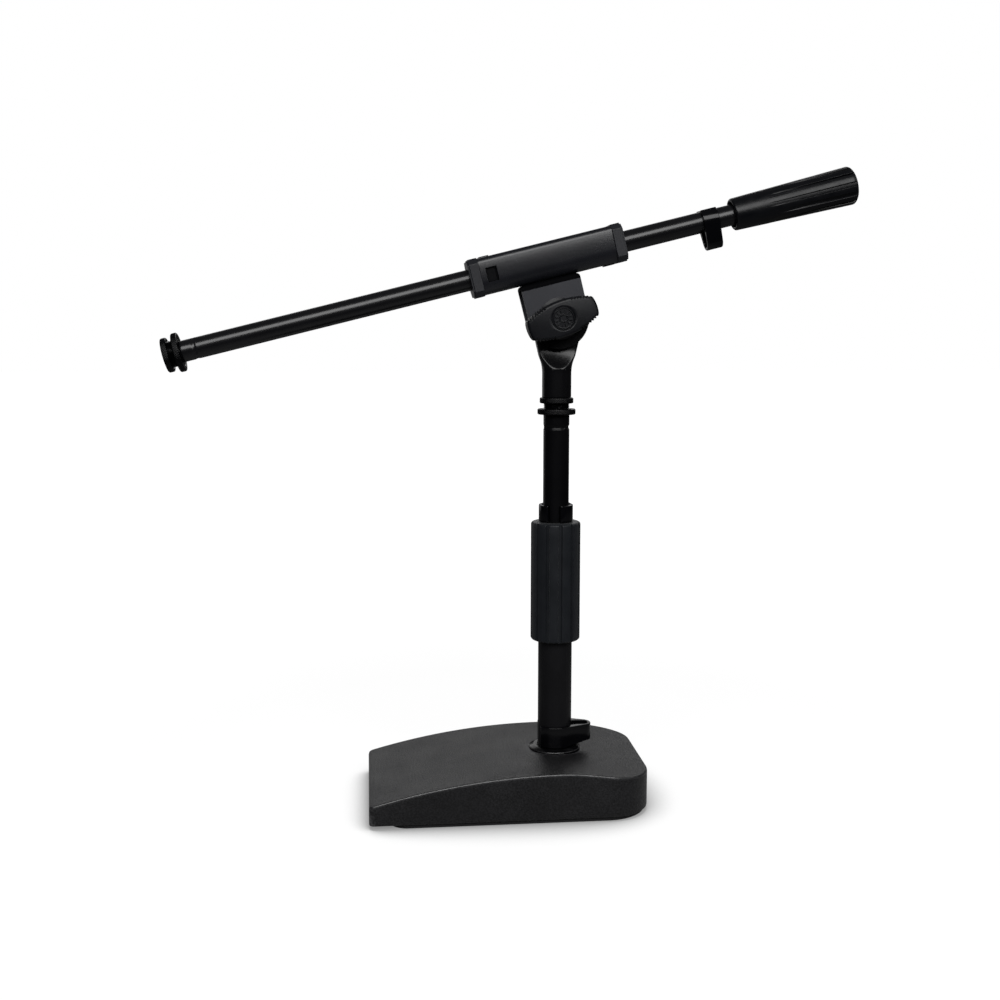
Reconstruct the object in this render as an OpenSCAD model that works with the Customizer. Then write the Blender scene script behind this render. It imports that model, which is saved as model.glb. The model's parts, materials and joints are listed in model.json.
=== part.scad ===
// Short boom microphone stand: weighted base, two-piece pole with a twist
// clutch, tilting boom head with a wing knob, sliding boom and cable clips.
// Frame: Z is the pole axis with z = 0 on the table, X runs along the base and
// the boom, and -Y is the side of the wing knob. All lengths are millimetres.

/* [Base] */
// Distance from the pole axis to the low end of the base
base_left = 117; // [110:1:125]
// Distance from the pole axis to the tall end of the base
base_right = 53.5; // [50:0.5:60]
// Width of the base, front to back
base_w = 104; // [96:1:116]
// Height of the low end above the table
base_low_h = 14; // [12:0.5:18]
// Greatest height of the base, at the pole
base_peak_h = 30.3; // [29.8:0.1:31]
// Height of the tall end above the table
base_right_h = 25.3; // [24:0.1:27]
// Corner radius at the tall end, in plan
base_round_r = 26; // [20:1:32]
// Corner radius at the low end, in plan
base_corner_r = 3; // [2:0.5:5]
// Thickness of the non-slip pad
pad_t = 2.5; // [2:0.1:3]

/* [Pole] */
// Outside diameter of the fixed lower tube
lower_tube_d = 21; // [21:0.1:21.2]
// Inside diameter of the fixed lower tube
lower_tube_bore = 18; // [18:0.1:18.2]
// Height of the top of the lower tube, inside the clutch
lower_tube_top = 132; // [130:0.5:133]
// Outside diameter of the sliding upper tube, five eighths of an inch
upper_tube_d = 15.875; // [15.8:0.005:15.9]
// Inside diameter of the sliding upper tube
upper_tube_bore = 13.9; // [13.5:0.1:14.1]
// Height of the lower end of the upper tube
upper_tube_foot = 93; // [92:0.5:95]
// Height of the upper end of the upper tube
upper_tube_top = 240.2; // [238:0.1:244]

/* [Clutch] */
// Height of the lower edge of the clutch grip
grip_foot = 100.2; // [99:0.1:102]
// Height of the upper edge of the clutch grip
grip_top = 174.2; // [173:0.1:175]
// Outside diameter of the clutch grip
grip_d = 30.6; // [30:0.1:32]
// Number of grooves round the clutch grip
grip_grooves = 12; // [8:1:16]

/* [Thread hardware] */
// Outside diameter of the five-eighths 27 thread
thread_d = 15.875; // [15.8:0.005:15.9]
// Diameter of the three-eighths 16 thread inside the threaded ends
small_thread_d = 9.525; // [9.5:0.005:9.6]
// Outside diameter of the fixed stop rings
stop_ring_d = 23.4; // [22.6:0.1:24]
// Outside diameter of the knurled lock rings
lock_ring_d = 20.7; // [20:0.1:21.4]
// Thickness of both kinds of ring
ring_t = 3.4; // [3:0.1:3.6]

/* [Head] */
// Height of the tilt pivot above the table
pivot_z = 298; // [296:0.5:300]
// Diameter of the neck that screws on the pole
neck_d = 17.8; // [17.4:0.1:18.4]
// Radius of the round end of the tongue
tongue_r = 15.5; // [15:0.1:16]
// Half thickness of the tongue
tongue_half = 3.6; // [3.4:0.1:4.2]
// Diameter of the pivot bolt
pivot_d = 8; // [7.8:0.1:8]
// Radius of the round ends of the bracket's cheeks
cheek_r = 18; // [17:0.1:18.5]
// Half width over the outsides of the two cheeks
cheek_out = 9.5; // [9.4:0.1:9.8]
// Half width of the slot between the two cheeks
cheek_in = 7; // [7:0.05:7.1]

/* [Wing knob] */
// Tip-to-tip length of the wing knob
knob_len = 43; // [40:0.5:46]
// Width of the wing knob across its middle
knob_w = 21.2; // [20:0.1:23]
// Radius of the two long curved edges of the wing knob
knob_edge_r = 50; // [40:1:60]
// Angle of the wing knob's long axis above the level
knob_tilt = 21.5; // [0:0.5:45]
// Front-to-back thickness of the wings
knob_t = 14; // [12:0.5:16]

/* [Boom] */
// Angle of the boom above the level, on the handle side
boom_angle = 14; // [0:0.5:30]
// Distance from the tilt pivot to the boom's axis
boom_rise = 35; // [34:0.5:36]
// Outside diameter of the boom tube, half an inch
boom_d = 12.7; // [12.6:0.05:12.7]
// Wall thickness of the boom tube
boom_wall = 1; // [0.8:0.1:1.2]
// Distance along the boom from the pivot to the microphone end of the tube
boom_reach = 221.2; // [200:0.1:230]
// Distance along the boom from the pivot to the inner end of the handle
handle_start = 118.8; // [115:0.1:125]
// Length of the handle
handle_len = 78; // [70:1:90]
// Diameter of the handle at its inner end
handle_d_small = 19.4; // [18.5:0.1:20.5]
// Diameter of the handle at its outer end
handle_d_big = 23.5; // [22.5:0.1:24.5]

/* [Sleeve] */
// Width and height of the square boom sleeve
sleeve_w = 22; // [21.6:0.1:22]
// Wall thickness of the boom sleeve
sleeve_wall = 1.6; // [1.4:0.1:1.8]
// Distance along the boom from the pivot to the sleeve's left end
sleeve_left = 39.7; // [39:0.1:41]
// Distance along the boom from the pivot to the sleeve's right end
sleeve_right = 42.7; // [42:0.1:44]
// Thickness of the end caps outside the sleeve
cap_t = 6.5; // [5:0.1:7]

/* [Cable clips] */
// Wall thickness of the lower and boom clips
clip_wall = 1.9; // [1.6:0.1:2.2]
// Wall thickness of the middle clip
middle_clip_wall = 2.5; // [1.9:0.1:2.8]
// Height of the middle and boom clips along their tubes
clip_h = 10.2; // [8:0.1:10.5]
// Distance along the boom from the pivot to the near edge of the boom clip
boom_clip_start = 99; // [98:0.1:104]

/* [Hidden] */

round_fn = 96;
small_fn = 48;
run_fit = 0.05;

// Base: heights of the screw recess, web and tube socket
base_peak_x = -2;
web_low = 12;
tube_seat = 20;
collar_seat = 29;
base_hole_r = 5.5;
recess_r = 14;
base_steps = 28;

// Foot fasteners
m10_r = 4.95;
washer_t = 2;
washer_out_r = 11;
bolt_head_r = 9.8;
bolt_head_h = 6.4;
collar_r = 16.1;
collar_top = 32.4;
plug_top = 40;

// Pole
lower_r = lower_tube_d / 2;
lower_bore_r = lower_tube_bore / 2;
upper_r = upper_tube_d / 2;
upper_bore_r = upper_tube_bore / 2;
bush_h = 12;
bead_h = 1;
bead_r = upper_r + 0.55;
crimp_drop = 8.6;
crimp_pitch = 1.9;
crimp_depth = 0.35;

// Clutch
seat_r = 12.5;
seat_foot = 108;
seat_top = 152;
nut_r = 13.2;
nut_foot = 104.2;
nut_top = 168;
grip_r = grip_d / 2;
grip_neck_r = upper_r + 0.65;
grip_groove_r = 1.35;
grip_groove_depth = 0.75;

// Threaded ends
thread_r = thread_d / 2;
small_r = small_thread_d / 2;
ring_gap = 3.2;
ring_edge = 0.5;
insert_spigot = 15;
neck_foot = upper_tube_top + 2 * ring_t + ring_gap + 0.4;
insert_len = neck_foot - upper_tube_top - 0.2;

// Head
neck_r = neck_d / 2;
pivot_r = pivot_d / 2;
neck_top = 267;
scoop_foot = 266;
scoop_h = 12.6;
disc_t = cheek_in - 0.1 - tongue_half - run_fit;
washer_r = 12.2;
front_washer_t = 1.5;
pivot_head_r = 7.5;
pivot_head_t = 3.2;
stud_depth = 12;
cheek_top = boom_rise - sleeve_w / 2;
web_t = 2.5;
block_half = [8, 5.5];
block_gap = 0.3;

// Knob
knob_back = cheek_out + front_washer_t + 1.9;
knob_front = knob_back + knob_t;
hub_r = 12.5;
cap_r = 7.05;
cap_depth = 1.2;
insert_r = 6.4;
insert_t = 10;

// Boom
boom_r = boom_d / 2;
boom_end = 190;
sleeve_r = 4;
cap_w = sleeve_w + 1.1;
cap_chamfer = 3.4;
cap_plug_len = 18;
snap_x = 32.9;
snap_len = 6.6;
snap_w = 8.4;
top_snap_w = 8;
handle_grooves = 12;
handle_groove_half = 1.1;

// Points of an arc from angle a0 to a1 about c
function arc(c, r, a0, a1, n) =
    [for (i = [0:n]) c + r * [cos(a0 + (a1 - a0) * i / n), sin(a0 + (a1 - a0) * i / n)]];

// Outline of a square of width w with corner radius r, centred on the origin
function round_square(w, r) = let (k = w / 2 - r) concat(
    arc([k, k], r, 0, 90, 8),
    arc([-k, k], r, 90, 180, 8),
    arc([-k, -k], r, 180, 270, 8),
    arc([k, -k], r, 270, 360, 8));

// Outline of a square of width w with its corners cut off by c
function cut_square(w, c) = let (h = w / 2) [
    [h, h - c], [h - c, h], [c - h, h], [-h, h - c],
    [-h, c - h], [c - h, -h], [h - c, -h], [h, c - h]];

// Height of the base's top surface at x: a parabola down to the low end and a
// smooth step down to the tall end
function smooth(t) = t * t * (3 - 2 * t);
function base_height(x) = x < base_peak_x
    ? base_peak_h - (base_peak_h - base_low_h) * pow((x - base_peak_x) / (base_left + base_peak_x), 2)
    : base_peak_h - (base_peak_h - base_right_h) * smooth((x - base_peak_x) / (base_right - base_peak_x));

// Plan outline of the base, moved in by inset, with its low end at x = left
function base_plan(inset, left) = let (
    h = base_w / 2 - inset, r = base_round_r - inset, right = base_right - inset, c = base_corner_r)
    concat(
        arc([right - r, r - h], r, 270, 360, 12),
        arc([right - r, h - r], r, 0, 90, 12),
        arc([left + c, h - c], c, 90, 180, 6),
        arc([left + c, c - h], c, 180, 270, 6));

module ring(r_out, r_in, z0, z1) {
    translate([0, 0, z0])
        difference() {
            cylinder(r = r_out, h = z1 - z0, $fn = round_fn);
            translate([0, 0, -1]) cylinder(r = r_in, h = z1 - z0 + 2, $fn = round_fn);
        }
}

// A ring whose outer edges are chamfered, from z = 0 to z = t
module edged_ring(r_out, r_in, t, edge) {
    rotate_extrude($fn = round_fn)
        polygon([
            [r_in, 0], [r_out - edge, 0], [r_out, edge], [r_out, t - edge], [r_out - edge, t], [r_in, t]]);
}

// Tube wall with two crimped grooves drop below its top end at z1
module crimped_tube(r_out, r_in, z0, z1, drop) {
    difference() {
        ring(r_out, r_in, z0, z1);
        for (i = [0, 1])
            translate([0, 0, z1 - drop - i * crimp_pitch])
                ring(r_out + 1, r_out - crimp_depth, 0, 0.8);
    }
}

// Threaded end piece: thread from z = 0 to insert_len, spigot below z = 0 and
// a small thread bored down from the top to depth
module threaded_end(spigot_r, depth) {
    difference() {
        union() {
            cylinder(r = thread_r, h = insert_len, $fn = round_fn);
            translate([0, 0, -insert_spigot]) cylinder(r = spigot_r, h = insert_spigot + 1, $fn = round_fn);
        }
        translate([0, 0, insert_len - depth]) cylinder(r = small_r, h = depth + 1, $fn = small_fn);
    }
}

// Places children in the boom frame: x along the boom, z across it, pivot at 0
module at_pivot() {
    translate([0, 0, pivot_z]) rotate([0, -boom_angle, 0]) children();
}

// Places children so that their z axis runs along the boom towards the handle
module on_boom(s) {
    at_pivot() translate([s, 0, boom_rise]) rotate([0, 90, 0]) children();
}

// Places children so that their z axis runs from the pivot towards the knob side
module to_front() {
    rotate([90, 0, 0]) children();
}

// ---- base ----

module base_casting() {
    side = concat(
        [[base_right, pad_t], [-base_left, pad_t]],
        [for (i = [0:base_steps])
            let (x = -base_left + (base_left + base_right) * i / base_steps) [x, base_height(x)]]);
    color("#2b2c2e")
        difference() {
            intersection() {
                linear_extrude(40) polygon(base_plan(0, -base_left));
                rotate([90, 0, 0]) linear_extrude(base_w + 2, center = true) polygon(side);
            }
            translate([0, 0, collar_seat]) cylinder(r = collar_r + 0.1, h = 10, $fn = round_fn);
            translate([0, 0, tube_seat]) cylinder(r = lower_r + run_fit, h = 20, $fn = round_fn);
            cylinder(r = base_hole_r, h = 30, $fn = small_fn);
            cylinder(r = recess_r, h = web_low, $fn = round_fn);
        }
}

module base_pad() {
    color("#141414") linear_extrude(pad_t) polygon(base_plan(1.5, 12 - base_left));
}

module base_bolt() {
    head_top = web_low - washer_t;
    color("#6f7274")
        union() {
            translate([0, 0, head_top - bolt_head_h]) cylinder(r = bolt_head_r, h = bolt_head_h, $fn = 6);
            cylinder_from(m10_r, head_top - 1, 36);
        }
}

module cylinder_from(r, z0, z1) {
    translate([0, 0, z0]) cylinder(r = r, h = z1 - z0, $fn = small_fn);
}

module base_washer() {
    color("#8a8d8f") ring(washer_out_r, m10_r + 0.3, web_low - washer_t, web_low);
}

module foot_collar() {
    color("#232426")
        rotate_extrude($fn = round_fn)
            polygon([
                [lower_r + run_fit, collar_seat], [collar_r, collar_seat], [collar_r, collar_top - 1.5],
                [collar_r - 1.1, collar_top - 0.4], [collar_r - 3, collar_top],
                [lower_r + run_fit, collar_top]]);
}

module foot_plug() {
    color("#777a7c")
        difference() {
            cylinder_from(lower_bore_r - run_fit, tube_seat, plug_top);
            cylinder_from(m10_r + run_fit, tube_seat - 1, plug_top - 2);
        }
}

// ---- pole and clutch ----

module lower_tube() {
    color("#1c1d1f") ring(lower_r, lower_bore_r, tube_seat, lower_tube_top);
}

module clutch_seat() {
    mouth = seat_top - 6;
    color("#55585a")
        rotate_extrude($fn = round_fn)
            polygon([
                [lower_r + run_fit, seat_foot], [seat_r, seat_foot], [seat_r, seat_top],
                [upper_r + 2, seat_top], [upper_r + 0.2, mouth], [upper_r + 0.2, lower_tube_top],
                [lower_r + run_fit, lower_tube_top]]);
}

module clutch_collet() {
    color("#3a3b3d")
        difference() {
            rotate_extrude($fn = round_fn)
                polygon([
                    [upper_r + run_fit, seat_top - 4.5], [upper_r + 0.5, seat_top - 4.5],
                    [upper_r + 1.9, seat_top + 0.3], [upper_r + 2.6, seat_top + 0.3],
                    [upper_r + 2.6, seat_top + 3], [upper_r + 1, seat_top + 8],
                    [upper_r + run_fit, seat_top + 8]]);
            translate([0, -0.75, seat_top - 6]) cube([20, 1.5, 20]);
        }
}

module clutch_nut() {
    color("#5b5e60")
        rotate_extrude($fn = round_fn)
            polygon([
                [seat_r + run_fit, nut_foot], [nut_r, nut_foot], [nut_r, nut_top],
                [grip_neck_r, nut_top], [grip_neck_r, seat_top + 9.5], [upper_r + 3.1, seat_top + 3.2],
                [upper_r + 3.1, seat_top + 1], [seat_r + run_fit, seat_top + 1]]);
}

module clutch_grip() {
    edge = 1.6;
    color("#26272a")
        difference() {
            rotate_extrude($fn = round_fn)
                polygon([
                    [lower_r + 0.6, grip_foot], [grip_r - edge, grip_foot], [grip_r, grip_foot + edge],
                    [grip_r, grip_top - edge], [grip_r - edge, grip_top], [grip_neck_r, grip_top],
                    [grip_neck_r, nut_top], [nut_r, nut_top], [nut_r, nut_foot],
                    [lower_r + 0.6, nut_foot]]);
            for (i = [0:grip_grooves - 1])
                rotate([0, 0, (i + 0.1) * 360 / grip_grooves])
                    translate([grip_r + grip_groove_r - grip_groove_depth, 0, grip_foot - 1])
                        cylinder(r = grip_groove_r, h = grip_top - grip_foot + 2, $fn = small_fn);
        }
}

module pole_bush() {
    foot = upper_tube_foot + bead_h + 0.2;
    color("#303134") ring(lower_bore_r - run_fit, upper_r + run_fit, foot, foot + bush_h);
}

module upper_tube() {
    bush_top = upper_tube_foot + bead_h + bush_h + 0.4;
    color("#1c1d1f")
        union() {
            crimped_tube(upper_r, upper_bore_r, upper_tube_foot, upper_tube_top, crimp_drop);
            ring(bead_r, upper_r - 0.3, upper_tube_foot, upper_tube_foot + bead_h);
            ring(bead_r, upper_r - 0.3, bush_top, bush_top + bead_h);
        }
}

module pole_insert() {
    color("#3d3f41")
        translate([0, 0, upper_tube_top]) threaded_end(upper_bore_r - run_fit, insert_len + 2);
}

module pole_stop_ring() {
    color("#2a2b2d")
        translate([0, 0, upper_tube_top + 0.1])
            edged_ring(stop_ring_d / 2, thread_r + run_fit, ring_t, ring_edge);
}

module pole_lock_ring() {
    color("#2a2b2d")
        translate([0, 0, neck_foot - ring_t - 0.1])
            edged_ring(lock_ring_d / 2, thread_r + run_fit, ring_t, ring_edge);
}

// ---- head ----

module head_stud() {
    color("#77797b") cylinder_from(small_r - run_fit, upper_tube_top - 1.5, neck_foot + stud_depth);
}

// Round neck that widens like a trumpet, scooped on both sides to a flat tongue
module head_socket() {
    side = concat(
        [[neck_r, neck_foot]],
        [for (t = [0:0.1:1])
            [tongue_half + (neck_r - tongue_half) * pow(1 - t, 2), scoop_foot + scoop_h * t]],
        [[tongue_half, pivot_z]]);
    color("#222326")
        difference() {
            union() {
                intersection() {
                    rotate_extrude($fn = round_fn)
                        polygon([
                            [0, neck_foot], [neck_r, neck_foot], [neck_r, neck_top],
                            [tongue_r * 0.87, pivot_z - 12.5], [tongue_r * 0.87, pivot_z], [0, pivot_z]]);
                    rotate([90, 0, 90])
                        linear_extrude(40, center = true)
                            polygon(concat(
                                side, [for (i = [len(side) - 1:-1:0]) [-side[i][0], side[i][1]]]));
                }
                translate([0, 0, pivot_z]) to_front()
                    cylinder(r = tongue_r, h = 2 * tongue_half, center = true, $fn = round_fn);
            }
            translate([0, 0, pivot_z]) to_front()
                cylinder(r = pivot_r + run_fit, h = 40, center = true, $fn = small_fn);
            cylinder_from(small_r + run_fit, neck_foot - 1, neck_foot + stud_depth + 1);
        }
}

module friction_discs() {
    color("#4a4b4d")
        for (m = [0, 1])
            mirror([0, m, 0])
                translate([0, -tongue_half - run_fit, pivot_z]) to_front()
                    ring(tongue_r - 0.5, pivot_r + run_fit, 0, disc_t);
}

module boom_bracket() {
    half_w = cheek_r + 0.2;
    color("#232427")
        at_pivot()
            difference() {
                union() {
                    for (m = [0, 1])
                        mirror([0, m, 0]) translate([0, -cheek_in, 0]) to_front() {
                            cylinder(r = cheek_r, h = cheek_out - cheek_in, $fn = round_fn);
                            linear_extrude(cheek_out - cheek_in)
                                polygon([
                                    [-cheek_r, 0], [cheek_r, 0],
                                    [half_w, cheek_top], [-half_w, cheek_top]]);
                        }
                    translate([-half_w, -cheek_out, cheek_top - web_t])
                        cube([2 * half_w, 2 * cheek_out, web_t]);
                }
                to_front() cylinder(r = pivot_r + run_fit, h = 40, center = true, $fn = small_fn);
                block_window(cheek_top - web_t - 1, cheek_top + 1);
            }
}

// Opening for the brake block between heights z0 and z1 above the pivot
module block_window(z0, z1) {
    x = block_half[0] + block_gap;
    y = block_half[1] + block_gap;
    translate([-x, -y, z0]) cube([2 * x, 2 * y, z1 - z0]);
}

module brake_block() {
    color("#505254")
        at_pivot()
            difference() {
                translate([-block_half[0], -block_half[1], tongue_r + 0.5])
                    cube([2 * block_half[0], 2 * block_half[1], boom_rise - 2.5 - tongue_r - 0.5]);
                translate([0, 0, boom_rise]) rotate([0, 90, 0])
                    cylinder(r = boom_r + run_fit, h = 40, center = true, $fn = small_fn);
            }
}

module pivot_bolt() {
    tip = knob_front - cap_depth - 1.5;
    color("#6b6e70")
        at_pivot() {
            to_front() cylinder_from(pivot_r, -cheek_out - 1, tip);
            to_front() translate([0, 0, -cheek_out - pivot_head_t])
                edged_ring(pivot_head_r, 0, pivot_head_t, 1);
        }
}

module pivot_washer() {
    color("#303235")
        at_pivot() to_front() translate([0, 0, cheek_out + 0.05])
            edged_ring(washer_r, pivot_r + run_fit, front_washer_t, 0.3);
}

// ---- wing knob ----

module knob_outline() {
    edge_centre = knob_edge_r - knob_w / 2;
    intersection() {
        circle(r = knob_len / 2, $fn = round_fn);
        translate([0, edge_centre]) circle(r = knob_edge_r, $fn = 2 * round_fn);
        translate([0, -edge_centre]) circle(r = knob_edge_r, $fn = 2 * round_fn);
    }
}

// Places children in front of the head with z towards the knob side, level
module at_knob() {
    translate([0, 0, pivot_z]) to_front() rotate([0, 0, knob_tilt]) children();
}

module tilt_knob() {
    color("#292b2e")
        at_knob()
            difference() {
                union() {
                    translate([0, 0, knob_back]) linear_extrude(knob_t) knob_outline();
                    translate([0, 0, knob_back - 1.7]) cylinder(r = hub_r, h = 3, $fn = round_fn);
                }
                translate([0, 0, knob_back - 3]) cylinder(r = insert_r, h = insert_t + 3, $fn = 6);
                translate([0, 0, knob_back]) cylinder(r = pivot_r + 0.3, h = knob_t - 2, $fn = small_fn);
                translate([0, 0, knob_front - cap_depth]) cylinder(r = cap_r + 0.05, h = 5, $fn = round_fn);
            }
}

module knob_insert() {
    color("#b08d4a")
        at_knob() translate([0, 0, knob_back - 1.5])
            difference() {
                cylinder(r = insert_r - 0.02, h = insert_t + 1.5, $fn = 6);
                translate([0, 0, -1]) cylinder(r = pivot_r + run_fit, h = insert_t + 4, $fn = small_fn);
            }
}

module knob_cap() {
    color("#1f2022")
        at_knob() translate([0, 0, knob_front - cap_depth])
            cylinder(r = cap_r, h = cap_depth - 0.2, $fn = round_fn);
}

// ---- sleeve ----

// One snap window through the sleeve wall that faces +z before turning by a
module snap_window(s, a, w) {
    translate([s - snap_len / 2, 0, boom_rise]) rotate([a, 0, 0])
        translate([0, -w / 2, sleeve_w / 2 - sleeve_wall - 1]) cube([snap_len, w, sleeve_wall + 2]);
}

module boom_sleeve() {
    color("#1e1f22")
        at_pivot()
            difference() {
                translate([-sleeve_left, 0, boom_rise]) rotate([0, 90, 0])
                    difference() {
                        linear_extrude(sleeve_left + sleeve_right)
                            polygon(round_square(sleeve_w, sleeve_r));
                        translate([0, 0, -1])
                            linear_extrude(sleeve_left + sleeve_right + 2)
                                polygon(round_square(sleeve_w - 2 * sleeve_wall, sleeve_r - sleeve_wall));
                    }
                block_window(cheek_top - 1, cheek_top + sleeve_wall + 1);
                snap_window(-snap_x, 90, snap_w);
                snap_window(-snap_x - 2, 0, top_snap_w);
                snap_window(snap_x + 3, -90, snap_w);
                snap_window(snap_x + 5, 180, top_snap_w);
            }
}

// End cap with its guide plug and two snap tabs; the plug points along +z, the
// cap's inner face is at z = 0, the side tab faces -y and the other faces -x
module sleeve_cap() {
    plug_w = sleeve_w - 2 * sleeve_wall - 0.1;
    edge = sleeve_left - snap_x - snap_len / 2;
    difference() {
        union() {
            translate([0, 0, 1 - cap_t]) linear_extrude(cap_t - 1) polygon(cut_square(cap_w, cap_chamfer));
            translate([0, 0, -cap_t]) linear_extrude(1) polygon(cut_square(cap_w - 1.6, cap_chamfer - 0.4));
            translate([0, 0, -0.5]) linear_extrude(cap_plug_len + 0.5) polygon(round_square(plug_w, 2.4));
            translate([-snap_w / 2 + 0.5, 0.6 - sleeve_w / 2, edge + 0.4])
                cube([snap_w - 1, 3, snap_len - 0.8]);
            translate([-0.7 - sleeve_w / 2, 0.4 - top_snap_w / 2, edge - 1.7])
                cube([3, top_snap_w - 0.8, snap_len - 0.6]);
        }
        translate([0, 0, -cap_t - 1])
            cylinder(r = boom_r + run_fit, h = cap_plug_len + cap_t + 3, $fn = round_fn);
    }
}

module sleeve_cap_left() {
    color("#3a3b3e") on_boom(-sleeve_left) sleeve_cap();
}

module sleeve_cap_right() {
    color("#3a3b3e") on_boom(sleeve_right) rotate([0, 0, 180]) mirror([0, 0, 1]) sleeve_cap();
}

// ---- boom ----

module boom_tube() {
    color("#202124")
        on_boom(0) rotate([180, 0, 0])
            crimped_tube(boom_r, boom_r - boom_wall, -boom_end, boom_reach, crimp_drop - 1);
}

module mic_insert() {
    color("#3d3f41")
        on_boom(-boom_reach) rotate([180, 0, 0]) threaded_end(boom_r - boom_wall - run_fit, insert_len);
}

module mic_stop_ring() {
    color("#2a2b2d")
        on_boom(-boom_reach - ring_t - 0.1)
            edged_ring(stop_ring_d / 2, thread_r + run_fit, ring_t, ring_edge);
}

module mic_lock_ring() {
    color("#2a2b2d")
        on_boom(-boom_reach - insert_len)
            edged_ring(lock_ring_d / 2, thread_r + run_fit, ring_t, ring_edge);
}

module boom_end_plug() {
    color("#111213") on_boom(boom_end - 9) cylinder(r = boom_r - boom_wall, h = 9, $fn = small_fn);
}

module handle_grip() {
    small = handle_d_small / 2;
    big = handle_d_big / 2;
    floor_r = small + 0.35 * (big - small);
    color("#242528")
        on_boom(handle_start)
            difference() {
                rotate_extrude($fn = round_fn)
                    polygon(concat(
                        [[boom_r + run_fit, 3], [small - 2, 3], [small - 2, 0], [small - 1.2, 0]],
                        [[small, 1.6]],
                        arc([big - 3, handle_len - 3.6], 3, 0, 75, 5),
                        [[0, handle_len], [0, boom_end - handle_start]],
                        [[boom_r + run_fit, boom_end - handle_start]]));
                for (i = [0:handle_grooves - 1])
                    rotate([0, 0, i * 360 / handle_grooves])
                        translate([floor_r, -handle_groove_half, 10])
                            cube([4, 2 * handle_groove_half, handle_len]);
            }
}

// ---- cable clips ----

// Outline round circle r1 at the origin and circle r2 at x = d, with tangent sides
function teardrop(r1, r2, d) = let (a = acos((r1 - r2) / d)) concat(
    arc([0, 0], r1, a, 360 - a, 40),
    arc([d, 0], r2, -a, a, 14));

// Outline of a keyhole: circle r at the origin and a slot of half width h whose
// round end is centred on x = d
function keyhole(r, h, d) = let (a = asin(h / r)) concat(
    arc([0, 0], r, a, 360 - a, 40),
    arc([d, 0], h, -90, 90, 14));

// Open spring ring round a tube of radius r with a cable loop towards +x; the
// loop's outer end has radius r_end about x = d, and the mouth faces -x
module cable_clip(r, r_end, d, h, mouth, wall = clip_wall) {
    bore = r + 2 * run_fit;
    reach = 2 * (bore + wall);
    linear_extrude(h)
        difference() {
            polygon(teardrop(bore + wall, r_end, d));
            polygon(keyhole(bore, r_end - wall, d));
            polygon([
                [0, 0], reach * [-cos(mouth), sin(mouth)], [-2 * reach, 0],
                reach * [-cos(mouth), -sin(mouth)]]);
        }
}

module cable_clip_lower() {
    step = 2.5;
    color("#17181a")
        translate([0, 0, collar_top + 0.3])
            difference() {
                cable_clip(lower_r, 5.8, 17.1, 13, 40);
                translate([lower_r + 2.8, -20, -1]) cube([20, 40, step + 1]);
            }
}

module cable_clip_middle() {
    color("#17181a")
        translate([0, 0, grip_top + 0.4]) rotate([0, 0, 76])
            cable_clip(upper_r, 5.7, 14, clip_h, 28, middle_clip_wall);
}

module cable_clip_boom() {
    color("#17181a") on_boom(boom_clip_start) cable_clip(boom_r, 5.4, 11.9, clip_h - 0.4, 35);
}

base_casting();
base_pad();
base_bolt();
base_washer();
foot_collar();
foot_plug();
lower_tube();
clutch_seat();
clutch_collet();
clutch_nut();
clutch_grip();
cable_clip_lower();
cable_clip_middle();
pole_bush();
upper_tube();
pole_insert();
pole_stop_ring();
pole_lock_ring();
head_stud();
head_socket();
friction_discs();
boom_bracket();
boom_sleeve();
sleeve_cap_left();
sleeve_cap_right();
brake_block();
pivot_bolt();
pivot_washer();
tilt_knob();
knob_insert();
knob_cap();
boom_tube();
mic_insert();
mic_stop_ring();
mic_lock_ring();
boom_end_plug();
handle_grip();
cable_clip_boom();
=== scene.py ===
import json
import math

import bmesh
import bpy
import numpy as np
from mathutils import Matrix, Vector


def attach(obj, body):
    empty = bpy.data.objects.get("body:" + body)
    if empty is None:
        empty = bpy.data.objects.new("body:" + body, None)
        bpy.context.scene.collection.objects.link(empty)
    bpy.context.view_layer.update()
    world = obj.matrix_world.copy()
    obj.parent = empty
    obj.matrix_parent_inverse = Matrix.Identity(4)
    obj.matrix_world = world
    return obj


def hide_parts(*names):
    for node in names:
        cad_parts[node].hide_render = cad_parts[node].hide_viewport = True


# Looks of the boom microphone stand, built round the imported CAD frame. Shapes are
# worked out in millimetres in a local frame of their body and placed in metres.

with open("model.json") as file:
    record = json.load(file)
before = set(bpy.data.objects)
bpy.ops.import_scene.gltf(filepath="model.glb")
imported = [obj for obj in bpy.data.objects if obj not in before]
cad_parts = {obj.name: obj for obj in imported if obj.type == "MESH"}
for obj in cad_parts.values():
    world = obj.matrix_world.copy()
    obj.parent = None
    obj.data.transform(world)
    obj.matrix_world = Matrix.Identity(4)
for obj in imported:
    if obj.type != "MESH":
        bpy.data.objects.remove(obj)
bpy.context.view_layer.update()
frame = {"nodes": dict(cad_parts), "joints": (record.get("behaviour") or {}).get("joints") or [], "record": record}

MM = 0.001
JOINTS = {joint["name"]: joint for joint in frame["joints"]}
BODY = {node: body for body, nodes in frame["record"]["behaviour"]["bodies"].items() for node in nodes}


# ---- local frames: each maps millimetres to the row frame in metres ----

def local_frame(origin, x, y, z):
    """Matrix of the frame with this origin in metres and these axes, for points in millimetres."""
    basis = Matrix((x, y, z)).transposed().to_4x4()
    return Matrix.Translation(origin) @ basis @ Matrix.Scale(MM, 4)


PIVOT = Vector(JOINTS["boom_tilt"]["pos_m"])
ALONG = Vector(JOINTS["boom_slide"]["axis"]).normalized()
SIDE = Vector((0, 1, 0))
ACROSS = ALONG.cross(SIDE).normalized()
KNOB_TILT = math.radians(21.5)
KNOB_X = Vector((math.cos(KNOB_TILT), 0, math.sin(KNOB_TILT)))
KNOB_Y = Vector((-math.sin(KNOB_TILT), 0, math.cos(KNOB_TILT)))

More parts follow.
